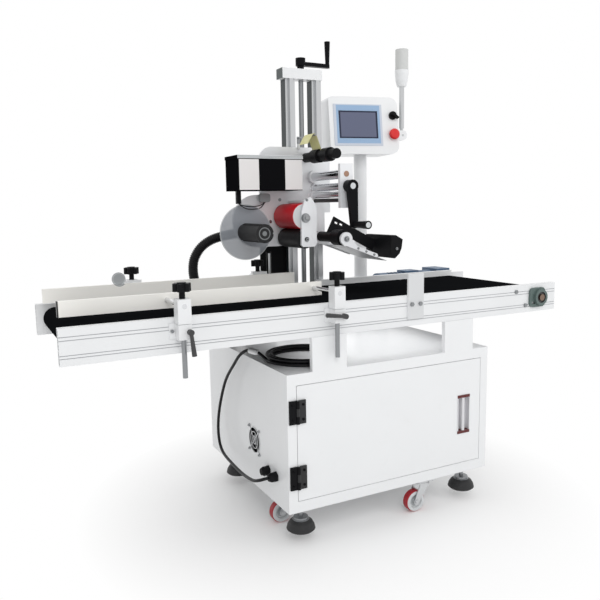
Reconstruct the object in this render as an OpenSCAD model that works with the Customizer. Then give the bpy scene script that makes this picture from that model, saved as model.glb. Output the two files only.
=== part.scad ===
// Flat surface labeling machine: cabinet on casters, belt conveyor, lift column and label head.
// Millimetres. X runs along the belt, Y points away from the operator, Z is up from the floor.

/* [Conveyor] */
// Length of the side rails
conv_len = 1500; // [1200:10:1800]
// Width over both side rails
conv_w = 452; // [400:2:560]
// Height of a side rail
rail_h = 85; // [80:1:110]
// Thickness of a side rail
rail_t = 20; // [18:1:30]
// Height of the side rails' top face above the floor
rail_top = 654; // [640:1:720]
// How far the belt lies below the rails' top face
belt_drop = 10; // [4:1:20]
// Gap between the belt edge and a rail
belt_side_gap = 6; // [4:1:10]
// Thickness of the belt
belt_t = 3; // [2:0.5:4]
// Diameter of the end rollers
roller_d = 56; // [40:1:60]
// Distance from the infeed end to the idler roller's axis
idler_inset = 48; // [45:1:80]
// Distance from the outfeed end to the drive roller's axis
drive_inset = 72; // [50:1:100]

/* [Cabinet] */
// Width of the cabinet
cab_w = 676; // [640:2:760]
// Depth of the cabinet
cab_d = 590; // [560:2:640]
// Height of the cabinet floor above the ground
ground_gap = 100; // [96:1:120]
// Sheet thickness
sheet_t = 2; // [1.5:0.5:3]
// Width of the door
door_w = 620; // [560:2:630]
// Height of the door
door_h = 314; // [280:2:320]
// Height of the cabinet face above and below the door
door_rim = 32; // [30:1:50]
// Play around the door
door_gap = 1.5; // [1:0.5:3]
// Side of the cooling fan
fan_size = 80; // [60:1:92]

/* [Lift column] */
// Place of the lead screw along the belt
column_x = 109; // [90:1:130]
// Side of one upright
upright_w = 34; // [30:1:36]
// Distance between the uprights' axes
upright_pitch = 96; // [92:1:110]
// Height of the column's top face
column_top = 1343; // [1300:1:1400]
// Diameter of the lead screws
lead_d = 16; // [12:1:18]
// Reach of the lift crank
crank_reach = 100; // [70:1:120]

/* [Label head] */
// Thickness of the head plate
head_t = 10; // [8:1:12]
// Diameter of the reel disc
reel_d = 166; // [140:1:180]
// Diameter of the reel core
core_d = 54; // [50:1:76]
// Length of the reel core
core_len = 139; // [100:1:150]
// Diameter of the red pressing roller
press_d = 76; // [60:1:76]
// Diameter of the black drive roller
drive_d = 57; // [40:1:57]
// Length of the nip rollers
nip_len = 130; // [100:1:132]
// Length of the drive box
box_len = 208; // [180:1:230]
// Height of the drive box
box_h = 102; // [90:1:120]
// Diameter of the upper slide rod
rod_d = 27; // [24:1:28]
// Reach of the side crank
side_reach = 112; // [90:1:120]

/* [Guides] */
// Height of a guide rail
guide_h = 38; // [30:1:45]
// Height of the guide rails above the side rails
guide_lift = 8; // [4:1:15]
// Length of the front guide rail
front_guide_len = 699; // [600:1:720]
// Length of the back guide rail
back_guide_len = 753; // [700:1:760]
// Place of the front guide rail behind the front rail's face
front_guide_y = 112; // [90:1:140]
// Diameter of the guide rods
guide_rod_d = 12; // [8:1:14]
// Diameter over a star knob
star_d = 44; // [36:1:46]

/* [Operator panel] */
// Width of the panel box
hmi_w = 244; // [220:1:270]
// Height of the panel box
hmi_h = 189; // [180:1:220]
// Depth of the panel box
hmi_d = 113; // [100:1:130]
// How far the face leans out at its foot
hmi_lean = 28; // [10:1:40]
// Turn of the panel towards the operator
hmi_turn = 12; // [0:1:20]
// Diameter of the panel post
post_d = 44; // [42:1:50]

/* [Casters and feet] */
// Diameter of a caster wheel
wheel_d = 65; // [50:1:68]
// Width of a caster wheel
wheel_w = 24; // [18:1:26]
// Diameter of a foot
foot_d = 80; // [60:1:90]
// Height of a foot's underside above the ground
foot_lift = 28; // [10:1:32]

/* [Hidden] */
$fn = 48;

// Overrun of every cut past the face that it opens
over = 1;
// Radial play of a shaft in its bore
fit = 0.05;
// Play between parts that move past each other
play = 0.3;
// Wider gap at a turning part
swing = 1;
// Width of a bar where it leaves its round end
neck_share = 0.98;

// How far the cabinet face stands in front of the front rail
cab_lead = 3;
rail_z = rail_top - rail_h;
belt_z = rail_top - belt_drop;
back_y = conv_w - rail_t;
drive_x = conv_len / 2 - drive_inset;
idler_x = idler_inset - conv_len / 2;
belt_r = roller_d / 2 + belt_t;
axle_z = belt_z - belt_r;
belt_y0 = rail_t + belt_side_gap;
belt_w = conv_w - 2 * belt_y0;

// Cabinet places
cab_x = 134;
cab_x0 = cab_x - cab_w / 2;
cab_y1 = cab_d - cab_lead;
cab_h = door_h + 2 * door_rim;
cab_z1 = ground_gap + cab_h;
door_x0 = cab_x - door_w / 2;
door_z0 = ground_gap + (cab_h - door_h) / 2;
door_fold = 16;
frame_fold = 12;
hinge_h = 63;
hinge_leaf = 24;
hinge_t = 5;
hinge_pin_d = 4;
hinge_barrel_d = 10;
hinge_shares = [0.11, 0.68];
hinge_x = door_x0;
hinge_y = -cab_lead - hinge_t;
handle_w = 45;
handle_h = 118;
handle_cup = 15;
handle_bar_d = 11;
handle_x = door_x0 + 0.9 * door_w;
handle_z = door_z0 + 0.29 * door_h;
cap_t = 6;

// Fan and glands in the left wall
fan_y = 218;
fan_z = 238;
fan_depth = 25;
fan_hub_d = 32;
fan_wall = 2;
fan_blades = 7;
blade_t = 2;
blade_tilt = 35;
guard_rings = 3;
guard_wire = 2;
gland_y = 124;
gland_pitch = 50;
gland_z = 179;
gland_d = 26;
gland_nut = 8;
gland_len = 24;
cable_d = 9;
gland_hole = 5;
hose_d = 30;
hose_x = -160;
hose_y = 500;
coil_gland_x = 60;
coil_gland_y = 300;

// Control gear on its plate inside the cabinet
gear_plate_w = 520;
gear_plate_h = 290;
gear_plate_back = 40;
gear_d = 70;
gear_row_shares = [[0.02, 0.56, 0.24, 0.36], [0.3, 0.56, 0.2, 0.36], [0.54, 0.56, 0.42, 0.36],
    [0.02, 0.08, 0.4, 0.3], [0.46, 0.08, 0.22, 0.3], [0.72, 0.08, 0.24, 0.3]];

// Feet and casters
foot_x_inset = 56;
foot_y_front = 42;
foot_y_back = 495;
foot_h = 32;
foot_top_d = 44;
foot_plate_h = 6;
foot_plate_d = 40;
stud_d = 12;
foot_nut_d = 22;
foot_nut_h = 8;
caster_x = [80, 457];
caster_y = [163, 30];
// The back casters mirror the front ones through the cabinet's middle
cab_mid_y = (cab_y1 - cab_lead) / 2;
caster_spots = [[cab_x0 + caster_x[0], caster_y[0]], [cab_x0 + caster_x[1], caster_y[1]],
    [2 * cab_x - cab_x0 - caster_x[1], 2 * cab_mid_y - caster_y[1]],
    [2 * cab_x - cab_x0 - caster_x[0], 2 * cab_mid_y - caster_y[0]]];
caster_plate = 60;
caster_plate_t = 4;
race_d = 44;
race_h = 8;
kingpin_d = 10;
crown_t = 6;
crown_d = 46;
trail = 28;
leg_t = 3;
leg_gap = 1;
axle_d = 8;
wheel_hub_d = 42;
wheel_hub_grow = 1;
leg_w = 34;
leg_end_w = 20;
axle_r_z = wheel_d / 2;

// Conveyor posts
post_w = 105;
post_t = 3;
post_fold = 14;
post_xs = [-76, 361];

// Side rail section
chamber_count = 5;
wall_t = 2.2;
groove_w = 1.4;
groove_d = 0.9;
groove_shares = [0.19, 0.27, 0.665, 0.76];

// Belt bed
bed_t = 2;
bed_flange = 24;
bed_end_gap = 12;
tie_side = 28;
tie_count = 4;
half_share = 0.5;

// Roller ends and bearings
shaft_d = 20;
bush_t = 5;
bush_d = 44;
shaft_play = 2;
shaft_out = 2;
shaft_in = 22;
stub_grip = 4;
// Start of the blind bore for the idler's stub
stub_y = belt_y0 - bush_t - belt_side_gap - stub_grip - swing;
housing_w = 64;
housing_h = 60;
housing_t = 7;
housing_r = 14;
housing_shift = 8;
window_drop = 10;
window_w = 14;
window_h = 7;
seal_d = 34;
seal_t = 4;
ring_d = 50;
ring_t = 16;
bolt_d = 8;
bolt_h = 4;
adjuster_shares = [[1.45, 0.37], [0.84, -0.37]];

// Gear motor behind the back rail
gearbox_w = 60;
gearbox_d = 88;
gearbox_h = 110;
motor_d = 98;
motor_post_gap = 24;
motor_fins = 9;
fin_t = 4;
fin_d = 5;
motor_gap = 8;
terminal_w = 60;
terminal_h = 26;

// Column
column_y = 475;
column_z0 = cab_z1;
base_t = 12;
base_w = 190;
base_d = 64;
upright_wall = 3;
cap_h = 32;
top_over = 14;
guide_w = 12;
guide_d = 10;
screw_y = column_y + upright_w / 2;
foot_block = 40;
foot_block_h = 30;
crank_gap = 14;
hub_d = 32;
hub_h = 24;
arm_h = 12;
arm_w = 22;
arm_tip = 15;
grip_d = 19;
grip_len = 72;
upright_z0 = column_z0 + base_t;
upright_z1 = column_top - cap_h;
upright_xs = [column_x - upright_pitch / 2, column_x + upright_pitch / 2];

// Black side panel with its slot
panel_w = 93;
panel_t = 6;
panel_z0 = 655;
panel_z1 = 785;
slot_w = 18;
slot_h = 76;
slot_gap = 64;
slot_x = upright_xs[0] - upright_w / 2 - slot_gap;
pin_d = 14;
nut_d = 22;
nut_h = 12;

// Lift carriage and cross slide
carriage_y = 440;
carriage_t = 13;
carriage_w = 150;
carriage_z0 = 885;
carriage_z1 = 1085;
block_h = 46;
block_w = 30;
nut_w = 36;
nut_z = 1000;
rod_x = 97;
// Height and diameter of each slide rod
rod_spots = [[998, rod_d], [940, 18], [923, 12]];
cross_x = 105;
cross_z = 963;
near_y = 195;
near_t = 12;
near_w = 43;
near_z0 = 900;
near_z1 = 1028;
near_shift = 3;
tab_x = -70;
tab_t = 8;
tab_z = 832;
tab_z1 = 890;
tab_arm = 38;
tab_rim = 2;
hose_tab_y = 448;
side_hub_len = 27;
side_hub_d = 36;
side_arm_w = 34;
side_arm_tip = 22;
side_turn = 3.5;
side_arm_t = 13;
side_grip_d = 24;
grip_share = 0.7;
side_grip_len = 71;
cross_d = 24;

// Head plate
head_y = 400;
head_x0 = -178;
head_x1 = 140;
head_z0 = 784;
head_z1 = 1090;
lobe_r = 80;
shoulder_x = -86;
shoulder_z = 944;
shoulder_r = 42;
bush_wall = 6;
bush_len = 16;

// Reel
reel_x = -151;
reel_z = 832;
disc_t = 3;
disc_gap = 34;
jaw_w = 5;
jaw_d = 2;
hub_rim_d = 70;

// Nip
red_x = -7;
red_z = 877;
black_x = -4;
nip_gap = 0.4;
black_z = red_z - (press_d + drive_d) / 2 - nip_gap;
nip_y1 = head_y - 7;
nip_y0 = nip_y1 - nip_len;
bracket_t = 8;
bracket_x0 = -22;
bracket_x1 = 29;
bracket_z0 = 787;
bracket_z1 = 905;
bracket_tip = [[12, 934], [-9, 925], [-19, 890]];
stay_d = 12;
stays = [[22, 925], [22, 795]];
axle_end_d = 12;

// Drive box and its stepper motor
box_x0 = -190;
box_y0 = 315;
box_z0 = 955;
box_lid = 10;
box_lip = 2;
box_back = 18;
box_notch = 3;
stepper_w = 56;
stepper_len = 58;

// Collared shaft
collar_x = 75;
collar_z = 1058;
collar_shaft_d = 30;
collar_d = 41;
collar_y0 = 207;
collar_ys = [[242, 38], [305, 42]];

// Web guides
web_bar_d = 5;
web_bar_x = 48;
web_bar_z = 1117;
web_bar_y0 = 285;
web_strap_w = 10;
sensor_w = 34;
sensor_h = 26;
sensor_r = 8;
sensor_x = -76;
sensor_z = 934;
sensor_y0 = 385;
hanger_x0 = -183;
hanger_w = 13;
hanger_h = 38;
hanger_y0 = 350;
hanger_y1 = 362;

// Peel arm
peel_x = 94;
peel_z = 812;
peel_shaft_d = 31;
knob_d = 48;
knob_y0 = 205;
knob_y1 = 250;
cheek_r = 20;
cheek_sink = 3;
cheek_t = 8;
cheek_y0 = 187;
cheek_far_y = 342;
cheek_drop = 20.3;
strip_points = [[0, -19.2], [118, -19.2], [122, -15], [122, -12], [118, -8], [42, -8], [17, 6],
    [0, 6]];
peel_len = 162;
peel_sheet_t = 2;
peel_sheet_low = 17;
arm_y0 = 290;
arm_t = 5;
arm_len = 162;
arm_back = 13;
arm_drop = 27.5;
arm_rise = 46;
arm_hgt = 34;
housing_points = [[165, -68], [179, -70], [196, -56], [204, -39], [208, -12], [182, 2], [165, 2]];
housing_y0 = 196;
housing_y1 = 338;
slot_start = 3;
slot_step = 18;
slot_lift = 3;
slot_len = 12;
slot_high = 6;

// Operator panel
hmi_x = 334;
hmi_y = 490;
hmi_z = 1076;
post_wall = 3;
flange_d = 110;
flange_t = 8;
// The motor stops short of the panel post's foot
motor_len = drive_x - gearbox_w / 2 - hmi_x - flange_d / 2 - motor_post_gap;
flange_bolt_r = 42;
spigot_d = 40;
spigot_h = 34;
hmi_r = 30;
hmi_r_left = 14;
hmi_left = 129;
hmi_front = 47.5;
lamp_y = 20;
hmi_wall = 4;
screen_w = 171.5;
screen_h = 139;
screen_x0_share = 0.0594;
screen_z0_share = 0.143;
glass_side = 17.5;
glass_low = 25;
glass_high = 22;
screen_deep = 3;
screen_proud = 1;
button_x_share = 0.918;
selector_z_share = 0.683;
estop_z_share = 0.345;
button_hole = 22;
estop_d = 36;
estop_h = 14;
estop_travel = 5;
selector_d = 27;
selector_h = 8;
lever_w = 9;
lever_h = 12;
ear_gap = 12;
knuckle_d = 32;
knuckle_x = 27;
knuckle_z = 66;
pole_d = 17;
pole_top = 217;
pole_low = 10;
pole_low_d = 11;
pole_step = 24;
lamp_d = 46;
lamp_base_h = 55;
lamp_lens_h = 68;
lamp_seam = 1;

// Guides
guide_t = 10;
guide_wall = 1.5;
front_guide_x0 = -736;
back_guide_x0 = -736;
back_guide_y = 386;
guide_z0 = rail_top + guide_lift;
block_side = 32;
block_tall = 58;
block_y = 20;
block_z0 = 643;
guide_rod_z = 684;
guide_end_gap = 25;
bracket_xs = [-476, front_guide_x0 + front_guide_len - guide_end_gap];
back_bracket_xs = [-476, -70];
rod_low = 513;
clamp_w = 48;
clamp_t = 4;
clamp_h = 36;
clamp_z0 = 606;
star_h = 19;
star_lobes = 6;
star_stem_d = 14;
star_stem_h = 17;
star_hub_share = 0.36;
star_lobe_share = 0.145;
clamp_lever_d = 14;
clamp_lever_len = 56;
clamp_hub_h = 14;
out_guide_x0 = 131;
out_guide_len = 569;
out_guide_h = 8;
out_plate_x = 202;
out_plate_w = 53;
out_plate_t = 6;
out_plate_z0 = 588;
out_plate_h = 128;
reflector_d = 38;
reflector_t = 6;
reflector_x = -531;
reflector_z = 713;
lever_root_share = 0.6;
lever_tip_share = 0.85;
front_reach = block_y + block_side / 2 + clamp_hub_h - clamp_lever_d / 4
    + lever_tip_share * clamp_lever_d / 2;
rod_tail = 40;
// Shift that centres the machine on its own depth
y_shift = (cab_d - cab_lead - front_reach) / 2;

// Moves the model's own depth axis, which starts at the front rail's face, to the middle
module stand() {
    translate([0, -y_shift, 0])
        children();
}

module block(from, to) {
    translate(from)
        cube([to[0] - from[0], to[1] - from[1], to[2] - from[2]]);
}

module bar_x(at, d, len) {
    translate(at)
        rotate([0, 90, 0])
            cylinder(d = d, h = len);
}

module bar_y(at, d, len) {
    translate(at)
        rotate([-90, 0, 0])
            cylinder(d = d, h = len);
}

module bar_z(at, d, len) {
    translate(at)
        cylinder(d = d, h = len);
}

// Upright sheet in the XZ plane, drawn in x and z and given its thickness along +Y
module wall_xz(y, t) {
    translate([0, y + t, 0])
        rotate([90, 0, 0])
            linear_extrude(t)
                children();
}

module round_rect(w, h, r) {
    square([w - 2 * r, h], center = true);
    square([w, h - 2 * r], center = true);
    for (x = [-1, 1], z = [-1, 1])
        translate([x * (w / 2 - r), z * (h / 2 - r)])
            circle(r);
}

// Bar with round ends of two radii, from one point to another
module taper_bar(from, to, r0, r1) {
    run = to - from;
    len = norm(run);
    translate(from)
        circle(r0);
    translate(to)
        circle(r1);
    translate(from)
        rotate(atan2(run[1], run[0]))
            polygon([[0, neck_share * r0], [len, neck_share * r1], [len, -neck_share * r1],
                [0, -neck_share * r0]]);
}

module hex_bolt_y(at, d, h) {
    translate(at)
        rotate([90, 0, 0])
            cylinder(d = d, h = h, $fn = 6);
}

// Cabinet
module cabinet_shell() {
    color("white")
        stand() {
            difference() {
                block([cab_x0, -cab_lead, ground_gap], [cab_x0 + cab_w, cab_y1, cab_z1]);
                block([cab_x0 + sheet_t, sheet_t - cab_lead, ground_gap + sheet_t],
                    [cab_x0 + cab_w - sheet_t, cab_y1 - sheet_t, cab_z1 - sheet_t]);
                block([door_x0 - door_gap, -cab_lead - over, door_z0 - door_gap],
                    [door_x0 + door_w + door_gap, sheet_t - cab_lead + over,
                        door_z0 + door_h + door_gap]);
                bar_x([cab_x0 - over, fan_y, fan_z], fan_size - 2 * fan_wall, sheet_t + 2 * over);
                for (i = [0, 1])
                    bar_x([cab_x0 - over, gland_y - i * gland_pitch, gland_z], cable_d + 2 * play,
                        sheet_t + 2 * over);
                bar_z([hose_x, hose_y, cab_z1 - sheet_t - over], hose_d - gland_nut,
                    sheet_t + 2 * over);
            }
            frame_in = door_gap + sheet_t;
            difference() {
                block([door_x0 - frame_in, sheet_t - cab_lead, door_z0 - frame_in],
                    [door_x0 + door_w + frame_in, sheet_t - cab_lead + frame_fold,
                        door_z0 + door_h + frame_in]);
                block([door_x0 - door_gap, -cab_lead, door_z0 - door_gap],
                    [door_x0 + door_w + door_gap, frame_fold + over, door_z0 + door_h + door_gap]);
            }
        }
}

module cabinet_door() {
    color("white")
        stand()
            difference() {
                block([door_x0, -cab_lead, door_z0],
                    [door_x0 + door_w, door_fold - cab_lead, door_z0 + door_h]);
                block([door_x0 + sheet_t, sheet_t - cab_lead, door_z0 + sheet_t],
                    [door_x0 + door_w - sheet_t, door_fold + over, door_z0 + door_h - sheet_t]);
                block([handle_x - handle_w / 2, -cab_lead - over, handle_z],
                    [handle_x + handle_w / 2, sheet_t, handle_z + handle_h]);
            }
}

// Recessed bow handle and the moving hinge leaves
module door_fittings() {
    rim = 2;
    cup_y = handle_cup - cab_lead;
    color("silver")
        stand() {
            difference() {
                block([handle_x - handle_w / 2, -cab_lead - rim, handle_z],
                    [handle_x + handle_w / 2, cup_y, handle_z + handle_h]);
                block([handle_x - handle_w / 2 + rim, -cab_lead - rim - over, handle_z + rim],
                    [handle_x + handle_w / 2 - rim, cup_y - rim, handle_z + handle_h - rim]);
            }
            bar_z([handle_x, handle_bar_d / 2 - cab_lead - rim, handle_z + rim], handle_bar_d,
                handle_h - 2 * rim);
            for (z = [handle_z + rim, handle_z + handle_h - rim - cap_t])
                block([handle_x - handle_w / 2 + rim, -cab_lead - rim, z],
                    [handle_x + handle_w / 2 - rim, cup_y - rim, z + cap_t]);
            for (s = hinge_shares) {
                z = door_z0 + s * door_h + hinge_h / 3 + play;
                difference() {
                    union() {
                        block([hinge_x + hinge_barrel_d / 2 + play, -cab_lead - hinge_t,
                            z - hinge_h / 3 - play],
                            [hinge_x + hinge_leaf, -cab_lead, z + 2 * hinge_h / 3 - play]);
                        block([hinge_x, -cab_lead - hinge_t, z],
                            [hinge_x + hinge_leaf, -cab_lead, z + hinge_h / 3 - 2 * play]);
                        bar_z([hinge_x, hinge_y, z], hinge_barrel_d, hinge_h / 3 - 2 * play);
                    }
                    bar_z([hinge_x, hinge_y, z - over], hinge_pin_d + 2 * fit, hinge_h);
                }
            }
        }
}

// Fixed leaves with two outer knuckles and the pin
module door_hinges() {
    knuckle = hinge_h / 3;
    color("dimgray")
        stand()
            for (s = hinge_shares) {
                z = door_z0 + s * door_h;
                block([hinge_x - hinge_leaf, -cab_lead - hinge_t, z],
                    [hinge_x - hinge_barrel_d / 2 - play, -cab_lead, z + hinge_h]);
                for (k = [0, 2]) {
                    difference() {
                        bar_z([hinge_x, hinge_y, z + k * knuckle], hinge_barrel_d, knuckle);
                        block([hinge_x, hinge_y, z - over],
                            [hinge_x + hinge_leaf, hinge_t, z + hinge_h + over]);
                    }
                    block([hinge_x - hinge_leaf, -cab_lead - hinge_t, z + k * knuckle],
                        [hinge_x - door_gap, -cab_lead, z + (k + 1) * knuckle]);
                }
                bar_z([hinge_x, hinge_y, z], hinge_pin_d, hinge_h);
            }
}

// Control gear: plate, rail, supply, drives, controller and terminals
module electrical_panel() {
    x0 = cab_x - gear_plate_w / 2;
    z0 = ground_gap + (cab_h - gear_plate_h) / 2;
    y1 = cab_y1 - gear_plate_back;
    standoff_d = 14;
    color("gainsboro")
        stand() {
            block([x0, y1 - sheet_t, z0], [x0 + gear_plate_w, y1, z0 + gear_plate_h]);
            for (x = [0.06, 0.94], z = [0.06, 0.94])
                bar_y([x0 + x * gear_plate_w, y1, z0 + z * gear_plate_h], standoff_d,
                    gear_plate_back - sheet_t);
            for (g = gear_row_shares)
                block([x0 + g[0] * gear_plate_w, y1 - sheet_t - gear_d, z0 + g[1] * gear_plate_h],
                    [x0 + (g[0] + g[2]) * gear_plate_w, y1 - sheet_t,
                        z0 + (g[1] + g[3]) * gear_plate_h]);
        }
}

module fan_frame() {
    x0 = cab_x0 + sheet_t;
    bore = fan_size - 2 * fan_wall;
    screw_pitch = 0.89 * fan_size;
    color("dimgray")
        stand() {
            difference() {
                block([x0, fan_y - fan_size / 2, fan_z - fan_size / 2],
                    [x0 + fan_depth, fan_y + fan_size / 2, fan_z + fan_size / 2]);
                bar_x([x0 - over, fan_y, fan_z], bore, fan_depth + 2 * over);
            }
            for (a = [45 : 90 : 315])
                translate([x0 + fan_depth - fan_wall, fan_y, fan_z])
                    rotate([a, 0, 0])
                        block([0, 0, -fan_wall], [fan_wall, bore / 2 + fan_wall / 2, fan_wall]);
            bar_x([x0 + fan_depth - fan_wall, fan_y, fan_z], fan_hub_d, fan_wall);
            bar_x([x0 + fan_wall, fan_y, fan_z], hinge_pin_d, fan_depth - 2 * fan_wall);
            for (i = [1 : guard_rings])
                difference() {
                    bar_x([cab_x0 - guard_wire, fan_y, fan_z], i * bore / guard_rings, guard_wire);
                    bar_x([cab_x0 - guard_wire - over, fan_y, fan_z],
                        i * bore / guard_rings - 2 * guard_wire, guard_wire + 2 * over);
                }
            for (a = [45, 135])
                translate([cab_x0 - guard_wire, fan_y, fan_z])
                    rotate([a, 0, 0])
                        block([0, -screw_pitch * 0.7, -guard_wire / 2],
                            [guard_wire, screw_pitch * 0.7, guard_wire / 2]);
            for (y = [-1, 1], z = [-1, 1])
                bar_x([cab_x0 - guard_wire - fan_wall, fan_y + y * screw_pitch / 2,
                    fan_z + z * screw_pitch / 2], bolt_d, guard_wire + fan_wall);
        }
}

module fan_rotor() {
    x0 = cab_x0 + sheet_t + fan_wall;
    run = fan_depth - 3 * fan_wall;
    tip = fan_size / 2 - fan_wall - swing;
    color("black")
        stand()
            difference() {
                intersection() {
                    union() {
                        bar_x([x0, fan_y, fan_z], fan_hub_d, run);
                        for (i = [0 : fan_blades - 1])
                            translate([x0 + run / 2, fan_y, fan_z])
                                rotate([i * 360 / fan_blades, 0, 0])
                                    rotate([0, blade_tilt, 0])
                                        block([-run / 2, 0, -blade_t / 2],
                                            [run / 2, tip, blade_t / 2]);
                    }
                    bar_x([x0, fan_y, fan_z], 2 * tip, run);
                }
                bar_x([x0 - over, fan_y, fan_z], hinge_pin_d + 2 * fit, run + 2 * over);
            }
}

// One gland along +Z: nut, body, and a rounded cap nut
module gland(d, hole, len) {
    difference() {
        union() {
            cylinder(d = d * 1.15, h = gland_nut, $fn = 6);
            cylinder(d = d * 0.9, h = len - gland_nut);
            translate([0, 0, len - 2 * gland_nut])
                cylinder(d = d, h = gland_nut);
            translate([0, 0, len - gland_nut])
                cylinder(d1 = d, d2 = d * 0.72, h = gland_nut);
        }
        translate([0, 0, -over])
            cylinder(d = hole, h = len + 2 * over);
    }
}

module cable_glands() {
    color("black")
        stand() {
            for (i = [0, 1])
                translate([cab_x0, gland_y - i * gland_pitch, gland_z])
                    rotate([0, -90, 0])
                        gland(gland_d, gland_hole, gland_len);
            translate([coil_gland_x, coil_gland_y, cab_z1])
                gland(gland_d, gland_hole, gland_len);
            translate([hose_x, hose_y, cab_z1])
                gland(hose_d + gland_nut, hose_d - gland_nut, gland_len);
        }
}

// Four rubber feet on studs, screwed up clear of the ground
module levelling_feet() {
    top = foot_lift + foot_h;
    color("dimgray")
        stand()
            for (x = [cab_x0 + foot_x_inset, cab_x0 + cab_w - foot_x_inset],
                y = [foot_y_front, foot_y_back])
                translate([x, y, 0]) {
                    rotate_extrude()
                        polygon([[0, foot_lift], [0.44 * foot_d, foot_lift],
                            [foot_d / 2, foot_lift + 0.14 * foot_h],
                            [0.47 * foot_d, foot_lift + 0.45 * foot_h],
                            [0.4 * foot_d, foot_lift + 0.75 * foot_h],
                            [foot_top_d / 2, top], [0, top]]);
                    bar_z([0, 0, top], foot_plate_d, foot_plate_h);
                    bar_z([0, 0, top + foot_plate_h], stud_d, ground_gap - top - foot_plate_h);
                    translate([0, 0, ground_gap - foot_nut_h])
                        difference() {
                            cylinder(d = foot_nut_d, h = foot_nut_h, $fn = 6);
                            translate([0, 0, -over])
                                cylinder(d = stud_d, h = foot_nut_h + 2 * over);
                        }
                }
}

// Legs of a caster fork, seen from the side and drawn from the crown to the axle
module fork_legs(offset_x, crown_z) {
    gap = wheel_w / 2 + leg_gap + wheel_hub_grow;
    for (s = [-1, 1])
        wall_xz(s > 0 ? gap : -gap - leg_t, leg_t)
            union() {
                translate([-offset_x, axle_r_z])
                    circle(d = leg_end_w);
                polygon([[-leg_w / 2, crown_z], [leg_w / 2, crown_z],
                    [-offset_x + leg_end_w / 2, axle_r_z], [-offset_x - leg_end_w / 2, axle_r_z]]);
            }
    bar_y([-offset_x, -gap - 2 * leg_t, axle_r_z], axle_d, 2 * gap + 4 * leg_t);
    for (s = [-1, 1])
        translate([-offset_x, s > 0 ? gap + leg_t : -gap - 2 * leg_t, axle_r_z])
            rotate([-90, 30, 0])
                cylinder(d = axle_d * 1.8, h = leg_t, $fn = 6);
    block([-leg_w / 2, -gap - leg_t, crown_z - over], [leg_w / 2, gap + leg_t, crown_z + leg_t]);
}

module caster_plate_at() {
    plate_z = ground_gap - caster_plate_t;
    block([-caster_plate / 2, -caster_plate / 2, plate_z], [caster_plate / 2, caster_plate / 2,
        ground_gap]);
    for (x = [-1, 1], y = [-1, 1])
        translate([x * 0.38 * caster_plate, y * 0.38 * caster_plate, plate_z - bolt_h])
            cylinder(d = bolt_d, h = bolt_h, $fn = 6);
}

crown_z = ground_gap - caster_plate_t - race_h - crown_t;

// Top plates and races of the swivel casters, and the whole frames of the two fixed ones
module caster_mounts() {
    plate_z = ground_gap - caster_plate_t;
    color("silver")
        stand() {
            for (i = [0, 1])
                translate([caster_spots[i][0], caster_spots[i][1], 0]) {
                    caster_plate_at();
                    bar_z([0, 0, plate_z - race_h + play], race_d, race_h - play);
                    bar_z([0, 0, crown_z - leg_t], kingpin_d, race_h + crown_t + leg_t);
                    bar_z([0, 0, crown_z - 2 * leg_t], kingpin_d * 1.7, leg_t - play);
                }
            for (i = [2, 3])
                translate([caster_spots[i][0], caster_spots[i][1], 0]) {
                    caster_plate_at();
                    bar_z([0, 0, crown_z + leg_t], race_d, plate_z - crown_z - leg_t);
                    fork_legs(0, crown_z);
                }
        }
}

module swivel_fork(spot) {
    color("silver")
        stand()
            translate([spot[0], spot[1], 0])
                difference() {
                    union() {
                        bar_z([0, 0, crown_z], crown_d, crown_t);
                        fork_legs(trail, crown_z);
                    }
                    bar_z([0, 0, crown_z - 2 * leg_t], kingpin_d + 2 * fit, crown_t + 4 * leg_t);
                }
}

module wheel(spot, offset_x) {
    color("crimson")
        stand()
            translate([spot[0] - offset_x, spot[1], axle_r_z])
                rotate([90, 0, 0])
                    difference() {
                        rotate_extrude()
                            polygon([[0, -wheel_w / 2 - wheel_hub_grow],
                                [axle_d, -wheel_w / 2 - wheel_hub_grow],
                                [axle_d * 1.2, -wheel_w / 4], [wheel_hub_d / 2 - 3, -wheel_w / 4],
                                [wheel_hub_d / 2, -wheel_w / 2],
                                [0.45 * wheel_d, -wheel_w / 2], [0.5 * wheel_d, -wheel_w / 3],
                                [0.5 * wheel_d, wheel_w / 3], [0.45 * wheel_d, wheel_w / 2],
                                [wheel_hub_d / 2, wheel_w / 2], [wheel_hub_d / 2 - 3, wheel_w / 4],
                                [axle_d * 1.2, wheel_w / 4],
                                [axle_d, wheel_w / 2 + wheel_hub_grow],
                                [0, wheel_w / 2 + wheel_hub_grow]]);
                        translate([0, 0, -wheel_w])
                            cylinder(d = axle_d + 2 * fit, h = 2 * wheel_w);
                    }
}

module front_left_fork() {
    swivel_fork(caster_spots[0]);
}

module front_right_fork() {
    swivel_fork(caster_spots[1]);
}

module front_left_wheel() {
    wheel(caster_spots[0], trail);
}

module front_right_wheel() {
    wheel(caster_spots[1], trail);
}

module back_left_wheel() {
    wheel(caster_spots[2], 0);
}

module back_right_wheel() {
    wheel(caster_spots[3], 0);
}

// Folded channels between the cabinet and the rails
module conveyor_posts() {
    color("white")
        stand()
            for (x = post_xs, side = [0, 1])
                translate([x, side == 0 ? -cab_lead : conv_w, 0])
                    mirror([0, side, 0])
                        difference() {
                            block([-post_w / 2, 0, cab_z1], [post_w / 2, post_fold, rail_z]);
                            block([-post_w / 2 + post_t, post_t, cab_z1 + post_t],
                                [post_w / 2 - post_t, post_fold + over, rail_z - post_t]);
                        }
}

// Rail section with the outer face at x = 0: grooved face, hollow chambers
module rail_section() {
    pitch = (rail_h - wall_t) / chamber_count;
    difference() {
        square([rail_t, rail_h]);
        for (i = [0 : chamber_count - 1])
            translate([wall_t, wall_t + i * pitch])
                square([rail_t - 2 * wall_t, pitch - wall_t]);
        for (s = groove_shares)
            translate([-over, s * rail_h])
                square([groove_d + over, groove_w]);
    }
}

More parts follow.
